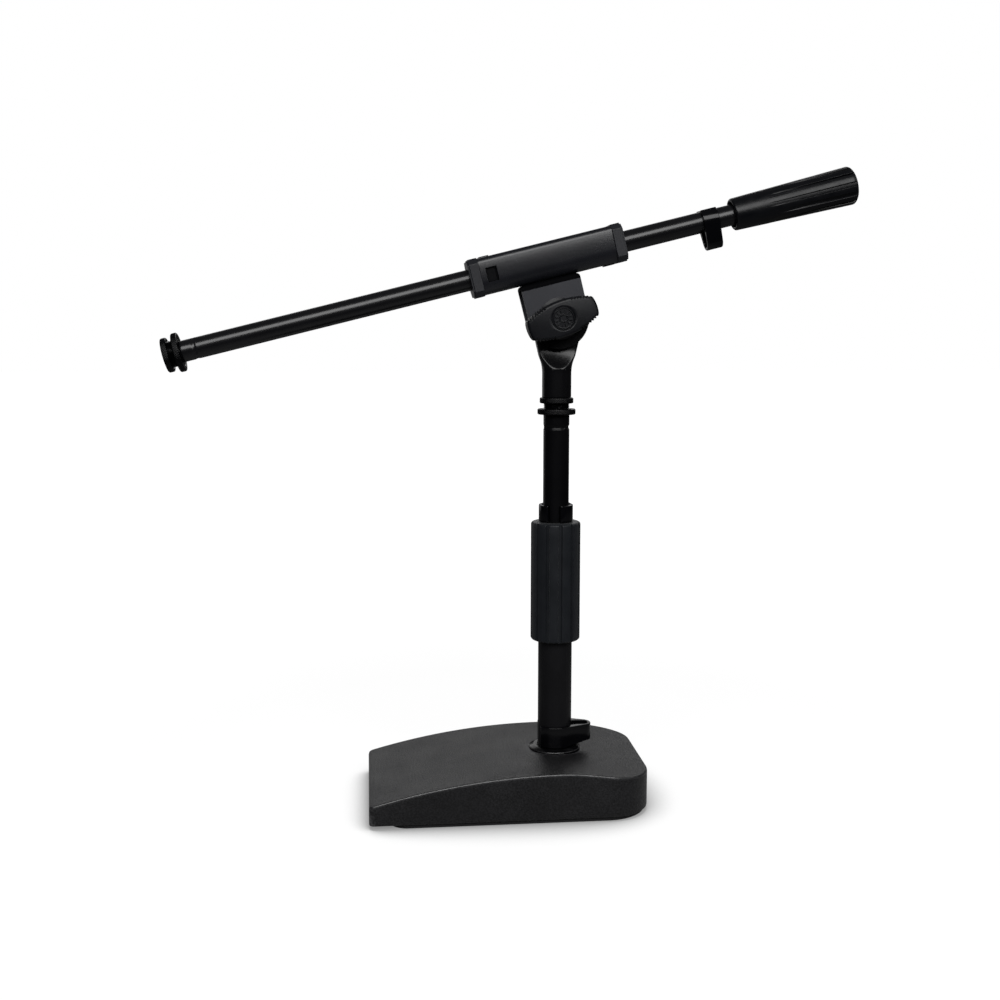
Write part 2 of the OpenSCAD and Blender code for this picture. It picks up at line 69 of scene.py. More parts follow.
UPRIGHT = local_frame(Vector((0, 0, 0)), Vector((1, 0, 0)), SIDE, Vector((0, 0, 1)))
HEAD = local_frame(PIVOT, ALONG, SIDE, ACROSS)
KNOB = local_frame(PIVOT, KNOB_X, KNOB_Y, -SIDE)
BOLT = local_frame(PIVOT, ALONG, ACROSS, -SIDE)


def span(node, place):
    """Lowest and highest corner of a CAD node in a local frame, in millimetres."""
    inverse = place.inverted()
    points = np.array([inverse @ v.co for v in frame["nodes"][node].data.vertices])
    return Vector(points.min(0)), Vector(points.max(0))


BOOM_RISE = sum(corner.z for corner in span("boom_tube", HEAD)) / 2
BOOM = local_frame(PIVOT + ACROSS * BOOM_RISE * MM, -ACROSS, SIDE, ALONG)


# ---- outlines ----

def arc(cx, cy, r, start, end, steps):
    """Points of an arc, with its angles in degrees."""
    turns = np.radians(np.linspace(start, end, steps + 1))
    return [(cx + r * math.cos(t), cy + r * math.sin(t)) for t in turns]


def rounded(corners, steps=5):
    """Closed outline through corners (x, y, radius), with each corner rounded by its radius."""
    outline = []
    for i, (x, y, r) in enumerate(corners):
        here = np.array((x, y), float)
        back = np.array(corners[i - 1][:2], float) - here
        ahead = np.array(corners[(i + 1) % len(corners)][:2], float) - here
        back /= np.linalg.norm(back)
        ahead /= np.linalg.norm(ahead)
        half = math.acos(np.clip(back @ ahead, -1, 1)) / 2
        if r <= 0 or half > math.radians(89):
            outline.append(tuple(here))
            continue
        reach = r / math.tan(half)
        middle = (back + ahead) / np.linalg.norm(back + ahead)
        centre = here + middle * r / math.sin(half)
        first = here + back * reach - centre
        last = here + ahead * reach - centre
        turn = math.atan2(first[0] * last[1] - first[1] * last[0], first @ last)
        for t in np.linspace(0, turn, steps + 1):
            c, s = math.cos(t), math.sin(t)
            outline.append((centre[0] + c * first[0] - s * first[1],
                            centre[1] + s * first[0] + c * first[1]))
    return outline


def inset(outline, distance):
    """A closed anticlockwise outline moved inwards by distance."""
    points = np.array(outline, float)
    ahead = np.roll(points, -1, 0) - points
    ahead /= np.linalg.norm(ahead, axis=1)[:, None]
    back = np.roll(ahead, 1, 0)
    inward = np.stack([-(ahead + back)[:, 1], (ahead + back)[:, 0]], 1)
    inward /= np.linalg.norm(inward, axis=1)[:, None]
    spread = np.clip(np.einsum("ij,ij->i", inward, np.stack([-ahead[:, 1], ahead[:, 0]], 1)), 0.4, 1)
    return points + inward * (distance / spread)[:, None]


def resample(outline, count):
    """The closed outline as count points at equal steps along it."""
    points = np.array(list(outline) + [outline[0]], float)
    steps = np.concatenate([[0], np.cumsum(np.linalg.norm(np.diff(points, axis=0), axis=1))])
    at = np.linspace(0, steps[-1], count, endpoint=False)
    return np.stack([np.interp(at, steps, points[:, k]) for k in (0, 1)], 1)


def quarter(steps):
    """Steps of a rounded edge: pairs (1 - cos, 1 - sin) of the angle up from the wall."""
    return [(1 - math.cos(t), 1 - math.sin(t)) for t in np.linspace(0, math.pi / 2, steps + 1)]


# ---- surfaces: each returns vertices and faces ----

def loft(rings, closed=False, cap=True):
    """Quads between rings of equal length; closed joins the last ring to the first."""
    rings = np.array(rings, float)
    rows, count = rings.shape[:2]
    faces = []
    for i in range(rows if closed else rows - 1):
        a, b = i * count, (i + 1) % rows * count
        faces += [(a + j, a + (j + 1) % count, b + (j + 1) % count, b + j) for j in range(count)]
    if cap and not closed:
        faces.append(tuple(range(count - 1, -1, -1)))
        faces.append(tuple(range((rows - 1) * count, rows * count)))
    return rings.reshape(-1, 3), faces


def lathe(outline, segments=144, radius=None):
    """A closed outline of (r, z) turned round z; radius(r, angle, z) may change each radius."""
    turns = np.linspace(0, 2 * math.pi, segments, endpoint=False)
    rings = []
    for r, z in outline:
        reach = np.full(segments, r) if radius is None else np.array([radius(r, t, z) for t in turns])
        rings.append(np.stack([reach * np.cos(turns), reach * np.sin(turns), np.full(segments, z)], 1))
    return loft(rings, closed=True)


def slab(outline, z0, z1, edge, steps=4):
    """An outline extruded from z0 to z1 with rounded rims."""
    rings = []
    for out, drop in reversed(quarter(steps)):
        rings.append(np.c_[inset(outline, out * edge), np.full(len(outline), z0 + drop * edge)])
    for out, drop in quarter(steps):
        rings.append(np.c_[inset(outline, out * edge), np.full(len(outline), z1 - drop * edge)])
    return loft(rings)


# ---- pieces ----

def finish_mesh(mesh, sharp):
    """Merges doubled vertices and shades smooth except where faces meet over sharp degrees."""
    bm = bmesh.new()
    bm.from_mesh(mesh)
    bmesh.ops.remove_doubles(bm, verts=bm.verts, dist=2e-7)
    bmesh.ops.dissolve_degenerate(bm, dist=1e-7, edges=bm.edges)
    bmesh.ops.recalc_face_normals(bm, faces=bm.faces)
    bm.to_mesh(mesh)
    bm.free()
    mesh.shade_smooth()
    mesh.set_sharp_from_angle(angle=math.radians(sharp))


def piece(name, surface, place, material, nodes, sharp=35):
    """A new piece in the place of one or more CAD nodes of one body."""
    points, faces = surface
    matrix = np.array(place)
    world = points @ matrix[:3, :3].T + matrix[:3, 3]
    mesh = bpy.data.meshes.new(name)
    mesh.from_pydata(world.tolist(), [], faces)
    finish_mesh(mesh, sharp)
    mesh.materials.append(material)
    obj = bpy.data.objects.new(name, mesh)
    bpy.context.scene.collection.objects.link(obj)
    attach(obj, BODY[nodes[0]])
    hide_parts(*nodes)
    return obj


def cut_across(bm, place, heights):
    """Adds edge lines where the planes z = height of a local frame cross the mesh."""
    normal = (place.to_3x3() @ Vector((0, 0, 1))).normalized()
    for height in heights:
        bmesh.ops.bisect_plane(bm, geom=bm.verts[:] + bm.edges[:] + bm.faces[:], dist=1e-6,
                               plane_co=place @ Vector((0, 0, height)), plane_no=normal)


def round_edges(bm, edges, width, steps):
    """Bevels the edges by width millimetres."""
    bmesh.ops.bevel(bm, geom=edges, offset=width * MM, offset_type="OFFSET", segments=steps,
                    profile=0.5, affect="EDGES", clamp_overlap=True)


def eased(name, node, materials, width, cuts=(), move=None, fold=None, pick=None):
    """A piece with the CAD node's own faces, whose edges are rounded by width millimetres.

    In the head's frame: cuts are heights of extra edge lines, move gives each vertex its new
    place, fold is (test, radius) for edges bent by a larger radius, and pick gives the
    number of the material of a face from its centre."""
    mesh = frame["nodes"][node].data.copy()
    mesh.name = name
    inverse = HEAD.inverted()
    bm = bmesh.new()
    bm.from_mesh(mesh)
    bmesh.ops.remove_doubles(bm, verts=bm.verts, dist=1e-6)
    bmesh.ops.dissolve_limit(bm, angle_limit=math.radians(0.5), verts=bm.verts, edges=bm.edges)
    bmesh.ops.recalc_face_normals(bm, faces=bm.faces)
    if fold:
        test, radius = fold
        round_edges(bm, [e for e in bm.edges if all(test(inverse @ v.co) for v in e.verts)], radius, 8)
    corner = math.radians(28)
    round_edges(bm, [e for e in bm.edges if e.is_manifold and e.calc_face_angle(0) > corner], width, 3)
    cut_across(bm, HEAD, cuts)
    if move:
        for vertex in bm.verts:
            vertex.co = HEAD @ move(inverse @ vertex.co)
    mesh.materials.clear()
    for material in materials:
        mesh.materials.append(material)
    if pick:
        for face in bm.faces:
            face.material_index = int(pick(inverse @ face.calc_center_median()))
    bm.to_mesh(mesh)
    bm.free()
    mesh.shade_smooth()
    mesh.set_sharp_from_angle(angle=math.radians(32))
    obj = bpy.data.objects.new(name, mesh)
    bpy.context.scene.collection.objects.link(obj)
    level = obj.modifiers.new("flat_faces", "WEIGHTED_NORMAL")
    level.keep_sharp = True
    level.weight = 100
    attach(obj, BODY[node])
    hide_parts(node)
    return obj


# ---- materials ----

class Nodes:
    """A short way to wire a material: each call adds one node and returns it."""

    def __init__(self, name):
        self.material = bpy.data.materials.new(name)
        self.material.use_nodes = True
        self.tree = self.material.node_tree
        self.shader = self.tree.nodes["Principled BSDF"]
        self.place = self.add("ShaderNodeTexCoord").outputs["Object"]

    def add(self, kind, **settings):
        node = self.tree.nodes.new(kind)
        for key, value in settings.items():
            setattr(node, key, value)
        return node

    def link(self, source, target):
        self.tree.links.new(source, target)

    def noise(self, scale, detail=3.0, roughness=0.55, stretch=(1, 1, 1)):
        """Noise with features about 1 / scale metres wide."""
        mapping = self.add("ShaderNodeMapping")
        mapping.inputs["Scale"].default_value = stretch
        self.link(self.place, mapping.inputs["Vector"])
        noise = self.add("ShaderNodeTexNoise")
        noise.inputs["Scale"].default_value = scale
        noise.inputs["Detail"].default_value = detail
        noise.inputs["Roughness"].default_value = roughness
        self.link(mapping.outputs["Vector"], noise.inputs["Vector"])
        return noise.outputs["Fac"]

    def ramp(self, source, low, high, dark, light):
        """Source between low and high as a grey or colour between dark and light."""
        ramp = self.add("ShaderNodeValToRGB")
        for element, at, tone in zip(ramp.color_ramp.elements, (low, high), (dark, light)):
            element.position = at
            element.color = (*tone, 1) if isinstance(tone, tuple) else (tone, tone, tone, 1)
        self.link(source, ramp.inputs["Fac"])
        return ramp.outputs["Color"]

    def mix(self, fac, a, b, blend="MIX"):
        node = self.add("ShaderNodeMix", data_type="RGBA", blend_type=blend)
        for socket, value in ((node.inputs[0], fac), (node.inputs[6], a), (node.inputs[7], b)):
            if isinstance(value, bpy.types.NodeSocket):
                self.link(value, socket)
            else:
                socket.default_value = (*value, 1) if isinstance(value, tuple) else value
        return node.outputs[2]

    def bump(self, height, strength, distance, under=None):
        bump = self.add("ShaderNodeBump")
        bump.inputs["Strength"].default_value = strength
        bump.inputs["Distance"].default_value = distance * MM
        self.link(height, bump.inputs["Height"])
        if under is not None:
            self.link(under, bump.inputs["Normal"])
        return bump.outputs["Normal"]

    def edges(self, low=0.52, high=0.6):
        """White on convex edges, black elsewhere."""
        return self.ramp(self.add("ShaderNodeNewGeometry").outputs["Pointiness"], low, high, 0.0, 1.0)


def coating(name, colour, roughness, level, grain, grain_height, drift=0.06, edge_wear_and_highlight=0.0,
            edge_wear_and_highlight_colour=(0.2, 0.2, 0.2), stretch=(1, 1, 1), speckle=0.0):
    """Black paint, powder coat or moulded plastic with a fine surface grain."""
    n = Nodes(name)
    shader = n.shader
    shader.inputs["Specular IOR Level"].default_value = level
    cloud = n.noise(38, 4)
    grainy = n.noise(grain, 2, 0.5, stretch)
    base = n.mix(n.ramp(cloud, 0.3, 0.7, 0.0, 1.0),
                 tuple(c * 0.82 for c in colour), tuple(c * 1.2 for c in colour))
    if speckle:
        flecks = n.ramp(n.noise(grain * 0.9, 1), 0.35, 0.65, 1 - speckle, 1 + speckle)
        base = n.mix(1.0, base, flecks, "MULTIPLY")
    # Lighter convex edges: edge wear, and on the base a painted highlight too.
    if edge_wear_and_highlight:
        wear_and_highlight_mask = n.mix(1.0, n.edges(), n.ramp(n.noise(420, 4), 0.38, 0.66, 0.0, edge_wear_and_highlight), "MULTIPLY")
        base = n.mix(wear_and_highlight_mask, base, edge_wear_and_highlight_colour)
    n.link(base, shader.inputs["Base Color"])
    patches = n.mix(0.35, n.ramp(cloud, 0.25, 0.75, 0.0, 1.0), grainy)
    n.link(n.ramp(patches, 0.2, 0.8, roughness - drift, roughness + drift), shader.inputs["Roughness"])
    n.link(n.bump(grainy, 0.6, grain_height), shader.inputs["Normal"])
    return n.material


def rubber(name, colour, roughness, level=0.22, sheen=0.06):
    """Soft-touch rubber: very fine grain, faint dust, painted shade in its hollows and a little sheen."""
    n = Nodes(name)
    shader = n.shader
    shader.inputs["Specular IOR Level"].default_value = level
    shader.inputs["Sheen Weight"].default_value = sheen
    shader.inputs["Sheen Roughness"].default_value = 0.45
    fine = n.noise(2600, 2)
    cloud = n.noise(90, 4, 0.6)
    dust = n.ramp(n.noise(1500, 5, 0.7), 0.62, 0.74, 0.0, 0.3)
    base = n.mix(cloud, tuple(c * 0.75 for c in colour), tuple(c * 1.25 for c in colour))
    dusty = n.mix(dust, base, tuple(c * 2.2 for c in colour))
    # Concave places are darkened: painted shade in the grooves and hollows.
    shaded_hollows = n.edges(0.42, 0.5)
    n.link(n.mix(shaded_hollows, tuple(c * 0.25 for c in colour), dusty), shader.inputs["Base Color"])
    n.link(n.ramp(cloud, 0.3, 0.7, roughness - 0.06, roughness + 0.06), shader.inputs["Roughness"])
    n.link(n.bump(fine, 0.7, 0.05, n.bump(cloud, 0.3, 0.06)), shader.inputs["Normal"])
    return n.material


def metal(name, colour, roughness, lines, stretch):
    """Bare metal with fine machining lines across the stretched direction."""
    n = Nodes(name)
    shader = n.shader
    shader.inputs["Metallic"].default_value = 1.0
    brushed = n.noise(lines, 3, 0.6, stretch)
    cloud = n.noise(120, 4)
    n.link(n.mix(cloud, tuple(c * 0.8 for c in colour), colour), shader.inputs["Base Color"])
    smooth = n.mix(0.5, brushed, cloud)
    n.link(n.ramp(smooth, 0.3, 0.7, roughness - 0.1, roughness + 0.1), shader.inputs["Roughness"])
    n.link(n.bump(brushed, 0.25, 0.03), shader.inputs["Normal"])
    return n.material


TURNED = (1, 1, 14)
DRAWN = (1, 1, 0.35)

# A coating has its linear colour, roughness, specular level, grain per metre and grain height.
# The base's lighter edges are partly wear and partly a painted highlight.
base_coat = coating("base_powder_coat", (0.0088, 0.0088, 0.0094), 0.38, 0.2, 1150, 0.5, edge_wear_and_highlight=0.5,
                    edge_wear_and_highlight_colour=(0.3, 0.3, 0.31), speckle=0.42)
# Glossier than base_powder_coat, which is real, and lighter, which is a painted highlight on the upper edges.
base_edge_highlight_coat = coating("base_edge_highlight_coat", (0.014, 0.014, 0.015), 0.29, 0.42, 1150, 0.12,
                         drift=0.04, speckle=0.4)
tube_coat = coating("tube_satin_coat", (0.0040, 0.0040, 0.0046), 0.36, 0.14, 620, 0.025, stretch=DRAWN)
slider_coat = coating("slider_satin_coat", (0.0014, 0.0014, 0.0018), 0.3, 0.10, 620, 0.02,
                      drift=0.03, stretch=DRAWN)
boom_coat = coating("boom_gloss_coat", (0.0030, 0.0030, 0.0036), 0.24, 0.33, 560, 0.018, drift=0.02)
neck_coat = coating("neck_satin_coat", (0.0017, 0.0017, 0.0021), 0.24, 0.26, 900, 0.02, drift=0.02)
bracket_coat = coating("bracket_satin_coat", (0.0140, 0.0146, 0.0182), 0.46, 0.25, 1250, 0.05, drift=0.03)
# Very dark coat for the bracket's top strip: painted shade under the sleeve.
shade_coat = coating("bracket_shaded_coat", (0.0008, 0.0008, 0.0011), 0.7, 0.02, 1250, 0.05)
# Dark coat for the cheeks' lower ends: painted shadow of the knob.
knob_shadow_coat = coating("bracket_painted_knob_shadow_coat", (0.0022, 0.0023, 0.0028), 0.5, 0.06, 1250, 0.05)
sleeve_coat = coating("sleeve_satin_coat", (0.0058, 0.0061, 0.0078), 0.27, 0.33, 1250, 0.03, drift=0.012)
collar_coat = coating("collar_turned_coat", (0.0014, 0.0014, 0.0017), 0.2, 0.16, 900, 0.03, drift=0.02,
                       stretch=TURNED)
ring_coat = coating("ring_black_oxide", (0.0009, 0.0009, 0.0012), 0.2, 0.11, 1400, 0.006, drift=0.02)
knob_plastic = coating("knob_moulded_plastic", (0.0026, 0.0029, 0.0040), 0.40, 0.19, 2100, 0.05, edge_wear_and_highlight=0.25,
                       edge_wear_and_highlight_colour=(0.04, 0.04, 0.045))
medallion = coating("medallion_moulded_plastic", (0.0040, 0.0043, 0.0056), 0.36, 0.22, 2100, 0.03)
# Darker plastic on the side tab in its window: painted shade in the recess.
tab_shade_plastic = coating("tab_plastic_painted_shade", (0.0016, 0.0017, 0.0022), 0.4, 0.05, 2100, 0.04, drift=0.03)
cap_plastic = coating("cap_moulded_plastic", (0.0085, 0.0090, 0.0113), 0.45, 0.25, 1800, 0.05, drift=0.03)
clip_plastic = coating("clip_gloss_plastic", (0.0012, 0.0012, 0.0017), 0.14, 0.20, 300, 0.008, drift=0.03)
nylon = coating("nylon", (0.020, 0.020, 0.022), 0.5, 0.3, 1500, 0.04)
pad_rubber = rubber("pad_rubber", (0.006, 0.006, 0.0065), 0.7)
grip_rubber = rubber("grip_rubber", (0.0038, 0.0049, 0.0068), 0.5)
handle_rubber = rubber("handle_rubber", (0.0014, 0.0016, 0.0023), 0.33, 0.20, 0.0)
zinc_steel = metal("zinc_steel", (0.50, 0.51, 0.53), 0.32, 900, TURNED)
brass = metal("brass", (0.72, 0.52, 0.24), 0.3, 900, TURNED)


# ---- base ----

PEAK_X = -2.0
LOW_H, PEAK_H, RIGHT_H = 14.0, 30.3, 25.3
ROUND_R, CORNER_R, PAD_CORNER_R = 26.0, 3.0, 11.0
TOP_EDGE, TOP_DROP, FOOT_EDGE = 0.9, 2.0, 0.6
# Faces tilted up this much are the upper edges that get the painted highlight.
EDGE_LOW, EDGE_HIGH = 0.12, 0.62
RECESS_R, HOLE_R = 14.0, 5.5
OUTLINE_POINTS = 400
TOP_RINGS = 28


def plan(low, high, corner):
    """Outline of the base in plan: small corners at the low end, round ones at the tall end."""
    half, left = high.y, low.x
    return (arc(high.x - ROUND_R, ROUND_R - half, ROUND_R, 270, 360, 30)
            + arc(high.x - ROUND_R, half - ROUND_R, ROUND_R, 0, 90, 30)
            + arc(left + corner, half - corner, corner, 90, 180, 16)
            + arc(left + corner, corner - half, corner, 180, 270, 16))


def gloss_and_highlight_edges(obj):
    """Gives the rounded upper edges of a piece a glossier finish and a lighter colour, a painted highlight."""
    obj.data.materials.append(base_edge_highlight_coat)
    for face in obj.data.polygons:
        face.material_index = int(EDGE_LOW < face.normal.z < EDGE_HIGH)


def make_base():
    low, high = span("base_casting", UPRIGHT)
    collar_low, collar_high = span("foot_collar", UPRIGHT)
    tube_low, tube_high = span("lower_tube", UPRIGHT)
    washer_top = span("base_washer", UPRIGHT)[1].z

    def height(x):
        """Height of the top face at x."""
        left = (x - PEAK_X) / (PEAK_X - low.x)
        right = np.clip((x - PEAK_X) / (high.x - PEAK_X), 0, 1)
        return np.where(x < PEAK_X, PEAK_H - (PEAK_H - LOW_H) * left ** 2,
                        PEAK_H - (PEAK_H - RIGHT_H) * right ** 2 * (3 - 2 * right))

    outline = resample(plan(low, high, CORNER_R), OUTLINE_POINTS)
    angles = np.arctan2(outline[:, 1], outline[:, 0])

    def circle(r, z):
        return np.c_[r * np.cos(angles), r * np.sin(angles), np.full(len(angles), z)]

    pocket = collar_high.x + 0.1
    socket = tube_high.x + 0.05
    rings = []
    for out, drop in reversed(quarter(4)):
        foot = np.full(len(outline), low.z + drop * FOOT_EDGE)
        rings.append(np.c_[inset(outline, out * FOOT_EDGE), foot])
    for out, drop in quarter(7):
        edge = inset(outline, out * TOP_EDGE)
        rings.append(np.c_[edge, height(edge[:, 0]) - drop * TOP_DROP])
    rim = inset(outline, TOP_EDGE)
    for t in np.linspace(0, 1, TOP_RINGS + 1)[1:]:
        flat = rim * (1 - t) + circle(pocket, 0)[:, :2] * t
        rings.append(np.c_[flat, height(flat[:, 0])])
    rings += [circle(pocket, collar_low.z), circle(socket, collar_low.z), circle(socket, tube_low.z),
              circle(HOLE_R, tube_low.z), circle(HOLE_R, washer_top), circle(RECESS_R, washer_top),
              circle(RECESS_R, low.z + 0.4), circle(RECESS_R + 0.4, low.z)]
    gloss_and_highlight_edges(piece("base_casting_cast", loft(rings, closed=True), UPRIGHT, base_coat, ["base_casting"]))

    pad_low, pad_high = span("base_pad", UPRIGHT)
    pad = resample(plan(pad_low, pad_high, PAD_CORNER_R), OUTLINE_POINTS)
    piece("base_pad_moulded", slab(pad, pad_low.z, pad_high.z, 0.5), UPRIGHT, pad_rubber, ["base_pad"])


SHANK_R = 4.95
WASHER_BORE = 5.3
COLLAR_RIM, COLLAR_SLOPE = 1.2, 2.9


def make_foot_fasteners():
    low, high = span("base_bolt", UPRIGHT)
    flats = high.x * math.cos(math.pi / 6)
    shank = SHANK_R
    head_top = span("base_washer", UPRIGHT)[0].z

    def hexagon(r, angle, z):
        """Radius of the head cut to its six flats; smaller radii stay round."""
        if r < flats * 0.9:
            return r
        return min(r, flats / math.cos((angle + math.pi / 6) % (math.pi / 3) - math.pi / 6))

    outline = [(0, low.z + 0.5), (5.2, low.z + 0.5), (5.6, low.z), (flats * 0.93, low.z),
               (high.x, low.z + 1.1), (high.x, head_top - 0.7), (flats * 0.96, head_top),
               (shank + 0.1, head_top), (shank, head_top + 0.3),
               (shank, high.z - 1), (shank - 1, high.z), (0, high.z)]
    piece("base_bolt_turned", lathe(outline, 144, hexagon), UPRIGHT, zinc_steel, ["base_bolt"], 25)

    low, high = span("base_washer", UPRIGHT)
    ring = rounded([(WASHER_BORE, low.z, 0.2), (high.x, low.z, 0.5),
                    (high.x, high.z, 0.2), (WASHER_BORE, high.z, 0.2)], 3)
    piece("base_washer_stamped", lathe(ring, 96), UPRIGHT, zinc_steel, ["base_washer"])

    low, high = span("foot_collar", UPRIGHT)
    bore = span("lower_tube", UPRIGHT)[1].x + 0.05
    ring = rounded([(bore, low.z, 0), (high.x, low.z, 0), (high.x, high.z - COLLAR_RIM, 0.7),
                    (high.x - COLLAR_SLOPE, high.z, 0.8), (bore, high.z, 0.2)], 5)
    gloss_and_highlight_edges(piece("foot_collar_turned", lathe(ring, 192), UPRIGHT, collar_coat, ["foot_collar"]))


# ---- pole and clutch ----

TUBE_WALL = 1.5
UPPER_WALL = 1.0
CAD_BEAD = 0.55
CRIMP_DEPTH = 0.55
BOOM_CRIMP_DEPTH = 0.3
CRIMP_HALF = 1.6
CRIMP_COUNT = 3
CRIMP_ARC = math.radians(48)
CRIMP_TURN = math.radians(-112)
POLE_CRIMP, BOOM_CRIMP = 7.6, 8.2
BEAD_RISE, BEAD_HALF = 0.5, 0.6


def drawn(radius, bore, foot, top, beads=()):
    """Outline of a tube wall with rounded ends and beads standing out round it."""
    outline = [(bore, top - 0.2), (bore, foot + 0.2), (bore + 0.2, foot),
               (radius - 0.3, foot), (radius, foot + 0.3)]
    for z in beads:
        outline += [(radius + BEAD_RISE / 2 * (1 + math.cos(math.pi * t)), z + BEAD_HALF * t)
                    for t in np.linspace(-1, 1, 13)]
    outline += [(radius, z) for z in np.linspace(top - 14, top - 1, 60)]
    outline += [(radius, top - 0.4), (radius - 0.12, top - 0.12), (radius - 0.4, top), (bore + 0.2, top)]
    return outline


def crimped(radius, crimp, depth):
    """Radius rule of a tube with slots pressed in round parts of it at height crimp."""
    step = 2 * math.pi / CRIMP_COUNT

    def rule(r, angle, z):
        if r < radius - 0.05 or abs(z - crimp) > CRIMP_HALF:
            return r
        off = abs((angle - CRIMP_TURN + step / 2) % step - step / 2)
        away = math.hypot(max(off - CRIMP_ARC, 0) * radius, z - crimp) / CRIMP_HALF
        return r - depth * (0.5 + 0.5 * math.cos(math.pi * min(away, 1))) ** 0.7

    return rule


def make_pole():
    low, high = span("lower_tube", UPRIGHT)
    outline = drawn(high.x, high.x - TUBE_WALL, low.z, high.z)
    piece("lower_tube_drawn", lathe(outline, 160), UPRIGHT, tube_coat, ["lower_tube"])

    low, high = span("upper_tube", UPRIGHT)
    bush_top = span("pole_bush", UPRIGHT)[1].z
    radius = high.x - CAD_BEAD
    outline = drawn(radius, radius - UPPER_WALL, low.z, high.z, [low.z + 0.6, bush_top + 0.7])
    shape = lathe(outline, 240, crimped(radius, high.z - POLE_CRIMP, CRIMP_DEPTH))
    piece("upper_tube_drawn", shape, UPRIGHT, slider_coat, ["upper_tube"])


GROOVES = 12
GROOVE_DEPTH = 1.1
GROOVE_HALF = 1.35
GROOVE_WALL = 0.5
GROOVE_PHASE = 0.1
GRIP_EDGE = 1.5


def make_grip():
    low, high = span("clutch_grip", UPRIGHT)
    nut_low, nut_high = span("clutch_nut", UPRIGHT)
    tube = span("lower_tube", UPRIGHT)[1].x + 0.6
    neck = span("pole_insert", UPRIGHT)[1].x + 0.65
    core = nut_high.x
    top_r = high.x

    def ribbed(r, angle, z):
        """Radius with the grooves cut in; the bore stays round."""
        if r < core + 0.5:
            return r
        step = 2 * math.pi / GROOVES
        off = abs((angle / step - GROOVE_PHASE + 0.5) % 1 - 0.5) * step * top_r
        if off > GROOVE_HALF:
            return r
        return min(r, top_r - GROOVE_DEPTH * min((GROOVE_HALF - off) / GROOVE_WALL, 1))

    wall = [(top_r - GRIP_EDGE * out, low.z + GRIP_EDGE * drop) for out, drop in reversed(quarter(6))]
    wall += [(top_r, z) for z in np.linspace(low.z, high.z, 24)[2:-2]]
    wall += [(top_r - GRIP_EDGE * out, high.z - GRIP_EDGE * drop) for out, drop in quarter(6)]
    inside = [(neck + 0.3, high.z), (neck, high.z - 0.3), (neck, nut_high.z), (core, nut_high.z),
              (core, nut_low.z), (tube, nut_low.z), (tube, low.z + 0.3), (tube + 0.3, low.z)]
    piece("clutch_grip_moulded", lathe(wall + inside, 720, ribbed), UPRIGHT, grip_rubber, ["clutch_grip"], 40)


# ---- cable clips ----

CLIP_WALL = 1.9
MIDDLE_CLIP_WALL = 2.5
CLIP_EDGE = 0.45
CLIP_FIT = 0.1
LOWER_LOOP_R, MIDDLE_LOOP_R, BOOM_LOOP_R = 5.8, 5.7, 5.4
LOWER_MOUTH, MIDDLE_MOUTH, BOOM_MOUTH = 40, 28, 35
MIDDLE_REACH, MIDDLE_TURN = 14.0, 76
LOOP_STEP_START, LOOP_STEP = 2.4, 2.5


def clip(bore, wall, end_r, reach, mouth, z0, z1, step=None):
    """Open spring ring with a cable loop towards +x; step is (x, height) of a cut under it."""
    outer = bore + wall
    hole = end_r - wall
    tangent = math.degrees(math.acos((outer - end_r) / reach))
    slot = math.degrees(math.asin(hole / bore))
    lip = 180 - mouth
    turns = 40

    def path(r, angle, end, swing):
        """Round the tube, out along the loop and back."""
        return np.array(arc(0, 0, r, lip, angle, turns) + arc(reach, 0, end, swing, -swing, 24)
                        + arc(0, 0, r, -angle, -lip, turns))

    outside = path(outer, tangent, end_r, tangent)
    within = path(bore, slot, hole, 90)
    lead = [(math.sin(t) * wall / 2, math.cos(t)) for t in np.radians(np.linspace(90, 15, 5))]

    def foot(x):
        """Height of the clip's lower rim at x."""
        if step is None:
            return z0
        t = min(max((x - step[0]) / 0.9, 0), 1)
        return z0 + step[1] * t * t * (3 - 2 * t)

    def section(a, b):
        """Rounded strip across the wall, from inner point a to outer point b."""
        width = np.linalg.norm(b - a)
        across = (b - a) / width
        edge = min(CLIP_EDGE, width * 0.45)

        def side(end, sign):
            """The low and the high rounded corner at one end of the strip."""
            base = foot(end[0])
            steps = [(end + across * sign * out * edge, drop * edge) for out, drop in quarter(3)]
            return [(p, base + drop) for p, drop in steps], [(p, z1 - drop) for p, drop in steps]

        outer_low, outer_high = side(b, -1)
        inner_low, inner_high = side(a, 1)
        ring = outer_low[::-1] + outer_high + inner_high[::-1] + inner_low
        return [(p[0], p[1], z) for p, z in ring]

    def lip_sections(a, b, away):
        """Sections that round off the free end past the strip from a to b."""
        middle, half = (a + b) / 2, (b - a) / 2
        return [section(middle + away * ahead - half * shrink, middle + away * ahead + half * shrink)
                for ahead, shrink in lead]

    first = (outside[0] + within[0]) / 2
    last = (outside[-1] + within[-1]) / 2
    away_first = np.array((-first[1], first[0])) / np.linalg.norm(first)
    away_last = np.array((last[1], -last[0])) / np.linalg.norm(last)
    rings = lip_sections(within[0], outside[0], away_first)
    rings += [section(a, b) for a, b in zip(within, outside)]
    rings += lip_sections(within[-1], outside[-1], away_last)[::-1]
    return loft(rings)


def turned(surface, degrees):
    """A surface turned about z."""
    points, faces = surface
    c, s = math.cos(math.radians(degrees)), math.sin(math.radians(degrees))
    return points @ np.array(((c, s, 0), (-s, c, 0), (0, 0, 1))), faces


